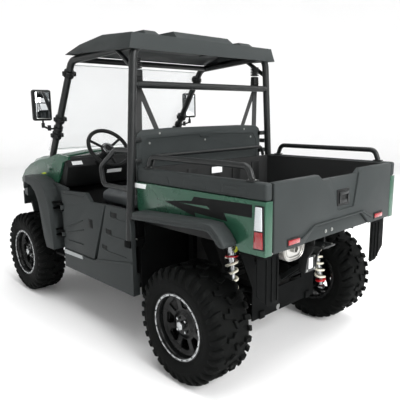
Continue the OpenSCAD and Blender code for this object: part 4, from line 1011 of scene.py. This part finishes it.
def front_end():
    a = FRONT
    band = [(a - 150, 868), (a - 130, 925), (a - 20, 975), (a + 140, 992), (a + 300, 994), (a + 400, 975),
            (a + 480, 915), (a + 530, 800), (a + 575, 500), (a + 570, 468), (a + 455, 468), (a + 420, 545),
            (a + 360, 800), (a + 310, 880), (a + 240, 925), (a + 140, 940), (a - 10, 925), (a - 80, 880),
            (a - 110, 850)]
    piece = side_plate("fender_bands", band, 618.3, 740, 0)
    corner = [(746, a - 300), (746, a + 165), (738, a + 150), (630, a - 152), (630, a - 300)]
    piece = cut(piece, plate("fender_corner", [at(x, y, 800) for x, y in corner], (0, 0, 300), 0))
    panel = side_plate("fender_panels", [(a + 420, 960), (a + 560, 945), (-352, 930), (-352, 470), (a + 520, 470),
                                         (a + 480, 700)], 618.3, 640.3, 4)
    # the fender ears are dressed near-black so the gap between fender and door reads dark: painted shade in the gap
    ears = []
    for z in (600, 800):
        for dz in (-26, 16):
            ears.append(block("fender_ears", (628, -535, z + dz), (706, -405, z + dz + 10), 2))
            ears.append(block("fender_ears", (686, -455, z + dz), (706, -334, z + dz + 10), 2))
        ears.append(rod("fender_ears", (699, -339, z - 17), (699, -339, z + 17), 5))
    dress(both_sides(join("fender_bands", [soften(piece, 10, 4, 25), panel])), MOULDED, "chassis", ("front_fenders",))
    dress(both_sides(join("fender_ears", ears)), UNDERBODY_BLACK_AND_SHADE)
    refined("front_cowl", "cowl_skin", GREEN, 4, 3)
    refined("hood", "bonnet_skin", GREEN, 8, 4, "hood")
    refined("front_bumper", "bumper_cover", MOULDED, 7, 3)
    refined("headlamps", "head_lenses", CLEAR_LENS, 5, 3)
    refined("dashboard", "dash_moulding", TRIM, 9, 3)
    # bars in front of the grille
    bars = [block("grille_bars", (-200, NOSE - 1.5, 715 + 18 * i), (200, NOSE + 6, 723 + 18 * i),
                  2) for i in range(4)]
    dress(join("grille_bars", bars), TRIM)
    # blank labels on the two slopes of the dash
    labels = [plate("dash_labels", [at(470, -403.5, 1092), at(556, -403.5, 1092), at(556, -421, 1118),
                                    at(470, -421, 1118)],
                    (0, 1.6, 1.1), 0.2, 1),
              plate("dash_labels", [at(118, -419, 1006), at(253, -419, 1006), at(253, -409.6, 1034),
                                    at(118, -409.6, 1034)],
                    (0, 1.6, -0.5), 0.2, 1)]
    dress(join("dash_labels", labels), WHITE_FILM)
    accents = [[(-812, 1004), (-764, 1000), (-716, 1012), (-742, 1018)]]
    dress(raised("cowl_accents", accents, 617, 619.2, 0.3), LIME_FILM)


def steering():
    """Steering wheel: padded rim, three spokes, hub with a bright ring."""
    column_reach = 395
    centre = Vector((330, PILLAR_Y + column_reach, 1215))
    tilt = math.radians(38)
    axis = Vector((0, math.cos(tilt), math.sin(tilt)))
    rim_r, bar_r = 160, 15
    circle = [(bar_r * math.cos(2 * math.pi * i / 14),
               rim_r + bar_r * math.sin(2 * math.pi * i / 14)) for i in range(14)]
    parts = [turned("hand_wheel", circle, tuple(centre), 64, axis)]
    side = Vector((1, 0, 0))
    up = axis.cross(side)
    for angle in (90, 210, 330):
        a = math.radians(angle)
        ray = side * math.cos(a) + up * math.sin(a)
        parts.append(rod("hand_wheel", centre + ray * 30 - axis * 17, centre + ray * 158, 10, 16, 1))
    parts.append(turned("hand_wheel", [(-30, 1), (-30, 50), (-24, 54), (-8, 52), (-2, 40), (0, 1)], tuple(centre), 40,
                        axis))
    dress(join("hand_wheel", parts), TRIM, "steering_wheel", ("steering_wheel",))
    ring = turned("hand_wheel_ring", [(-3, 26), (2, 27), (4, 34), (2, 44), (-4, 46), (-6, 26)], tuple(centre), 40,
                  axis)
    dress(ring, MACHINED, "steering_wheel")


# ---------- making ----------

wheels()
running_gear()
exhaust()
cargo_bed()
gate()
cage()
canopy()
screen()
mirrors()
hip_bars()
belts()
seats()
back_panel()
doors()
sills()
front_end()
steering()


# ---------- studio ----------

def studio():
    """Round pale cyclorama, soft lights, and the camera behind the left rear corner."""
    floor_finish, tree, bsdf = shader("studio_vinyl_white")
    place = add(tree, "ShaderNodeTexCoord").outputs["Object"]
    tone = add(tree, "ShaderNodeTexNoise", Vector=place, Scale=0.4, Detail=2.0)
    mix = add(tree, "ShaderNodeMixRGB", Fac=tone.outputs["Fac"], Color1=linear("#f4f4f4"), Color2=linear("#fafafa"))
    tree.links.new(mix.outputs["Color"], bsdf.inputs["Base Color"])
    bsdf.inputs["Roughness"].default_value = 0.8
    deselect()
    bpy.ops.mesh.primitive_circle_add(vertices=96, radius=11, fill_type="NGON", location=(0, 0, 0))
    floor = bpy.context.object
    floor.name = "studio_floor"
    edit(floor)
    bpy.ops.mesh.inset(thickness=0.02)
    bpy.ops.object.mode_set(mode="OBJECT")
    rise = [(11.6, 0.15), (12.1, 0.5), (12.5, 1.1), (12.7, 2.0), (12.8, 9.0)]
    for radius, height in rise:
        edit(floor, "DESELECT")
        bpy.ops.mesh.select_non_manifold()
        bpy.ops.mesh.extrude_edges_move()
        bpy.ops.object.mode_set(mode="OBJECT")
        for vertex in floor.data.vertices:
            if vertex.select:
                flat = Vector((vertex.co.x, vertex.co.y)).normalized() * radius
                vertex.co = (flat.x, flat.y, height)
    edit(floor)
    bpy.ops.mesh.normals_make_consistent(inside=True)
    bpy.ops.object.mode_set(mode="OBJECT")
    bpy.ops.object.shade_smooth_by_angle(angle=math.radians(50))
    floor.data.materials.append(floor_finish)
    for where, size, power in (((0.0, 8.5, 4.8), 5.0, 900), ((-6.0, 3.0, 5.5), 5.0, 120), ((7.5, -2.5, 5.0), 4.0, 25),
                               ((0.0, 1.0, 8.5), 7.0, 700)):
        bpy.ops.object.light_add(type="AREA", location=where)
        lamp = bpy.context.object
        lamp.data.size = size
        lamp.data.energy = power
        lamp.rotation_euler = (Vector((0, 0, 0.7)) - Vector(where)).to_track_quat("-Z", "Y").to_euler()
    world = bpy.data.worlds.new("pale_room")
    world.use_nodes = True
    world.node_tree.nodes["Background"].inputs["Color"].default_value = (1, 1, 1, 1)
    world.node_tree.nodes["Background"].inputs["Strength"].default_value = 0.38
    bpy.context.scene.world = world
    bpy.context.scene.view_settings.view_transform = "Standard"
    data = bpy.data.cameras.new("studio_camera")
    data.lens, data.sensor_width = 43.11, 36
    camera = bpy.data.objects.new("studio_camera", data)
    bpy.context.scene.collection.objects.link(camera)
    yaw, pitch, roll = (math.radians(a) for a in (-136.85, 10.38, -0.70))
    ahead = Vector((math.sin(yaw) * math.cos(pitch), math.cos(yaw) * math.cos(pitch), -math.sin(pitch)))
    right = ahead.cross(Vector((0, 0, 1))).normalized()
    above = right.cross(ahead)
    r2 = right * math.cos(roll) + above * math.sin(roll)
    u2 = above * math.cos(roll) - right * math.sin(roll)
    turn = Matrix((r2, u2, -ahead)).transposed().to_4x4()
    camera.matrix_world = Matrix.Translation((2.310, 2.813, 1.471)) @ turn
    bpy.context.scene.camera = camera


studio()
deselect()
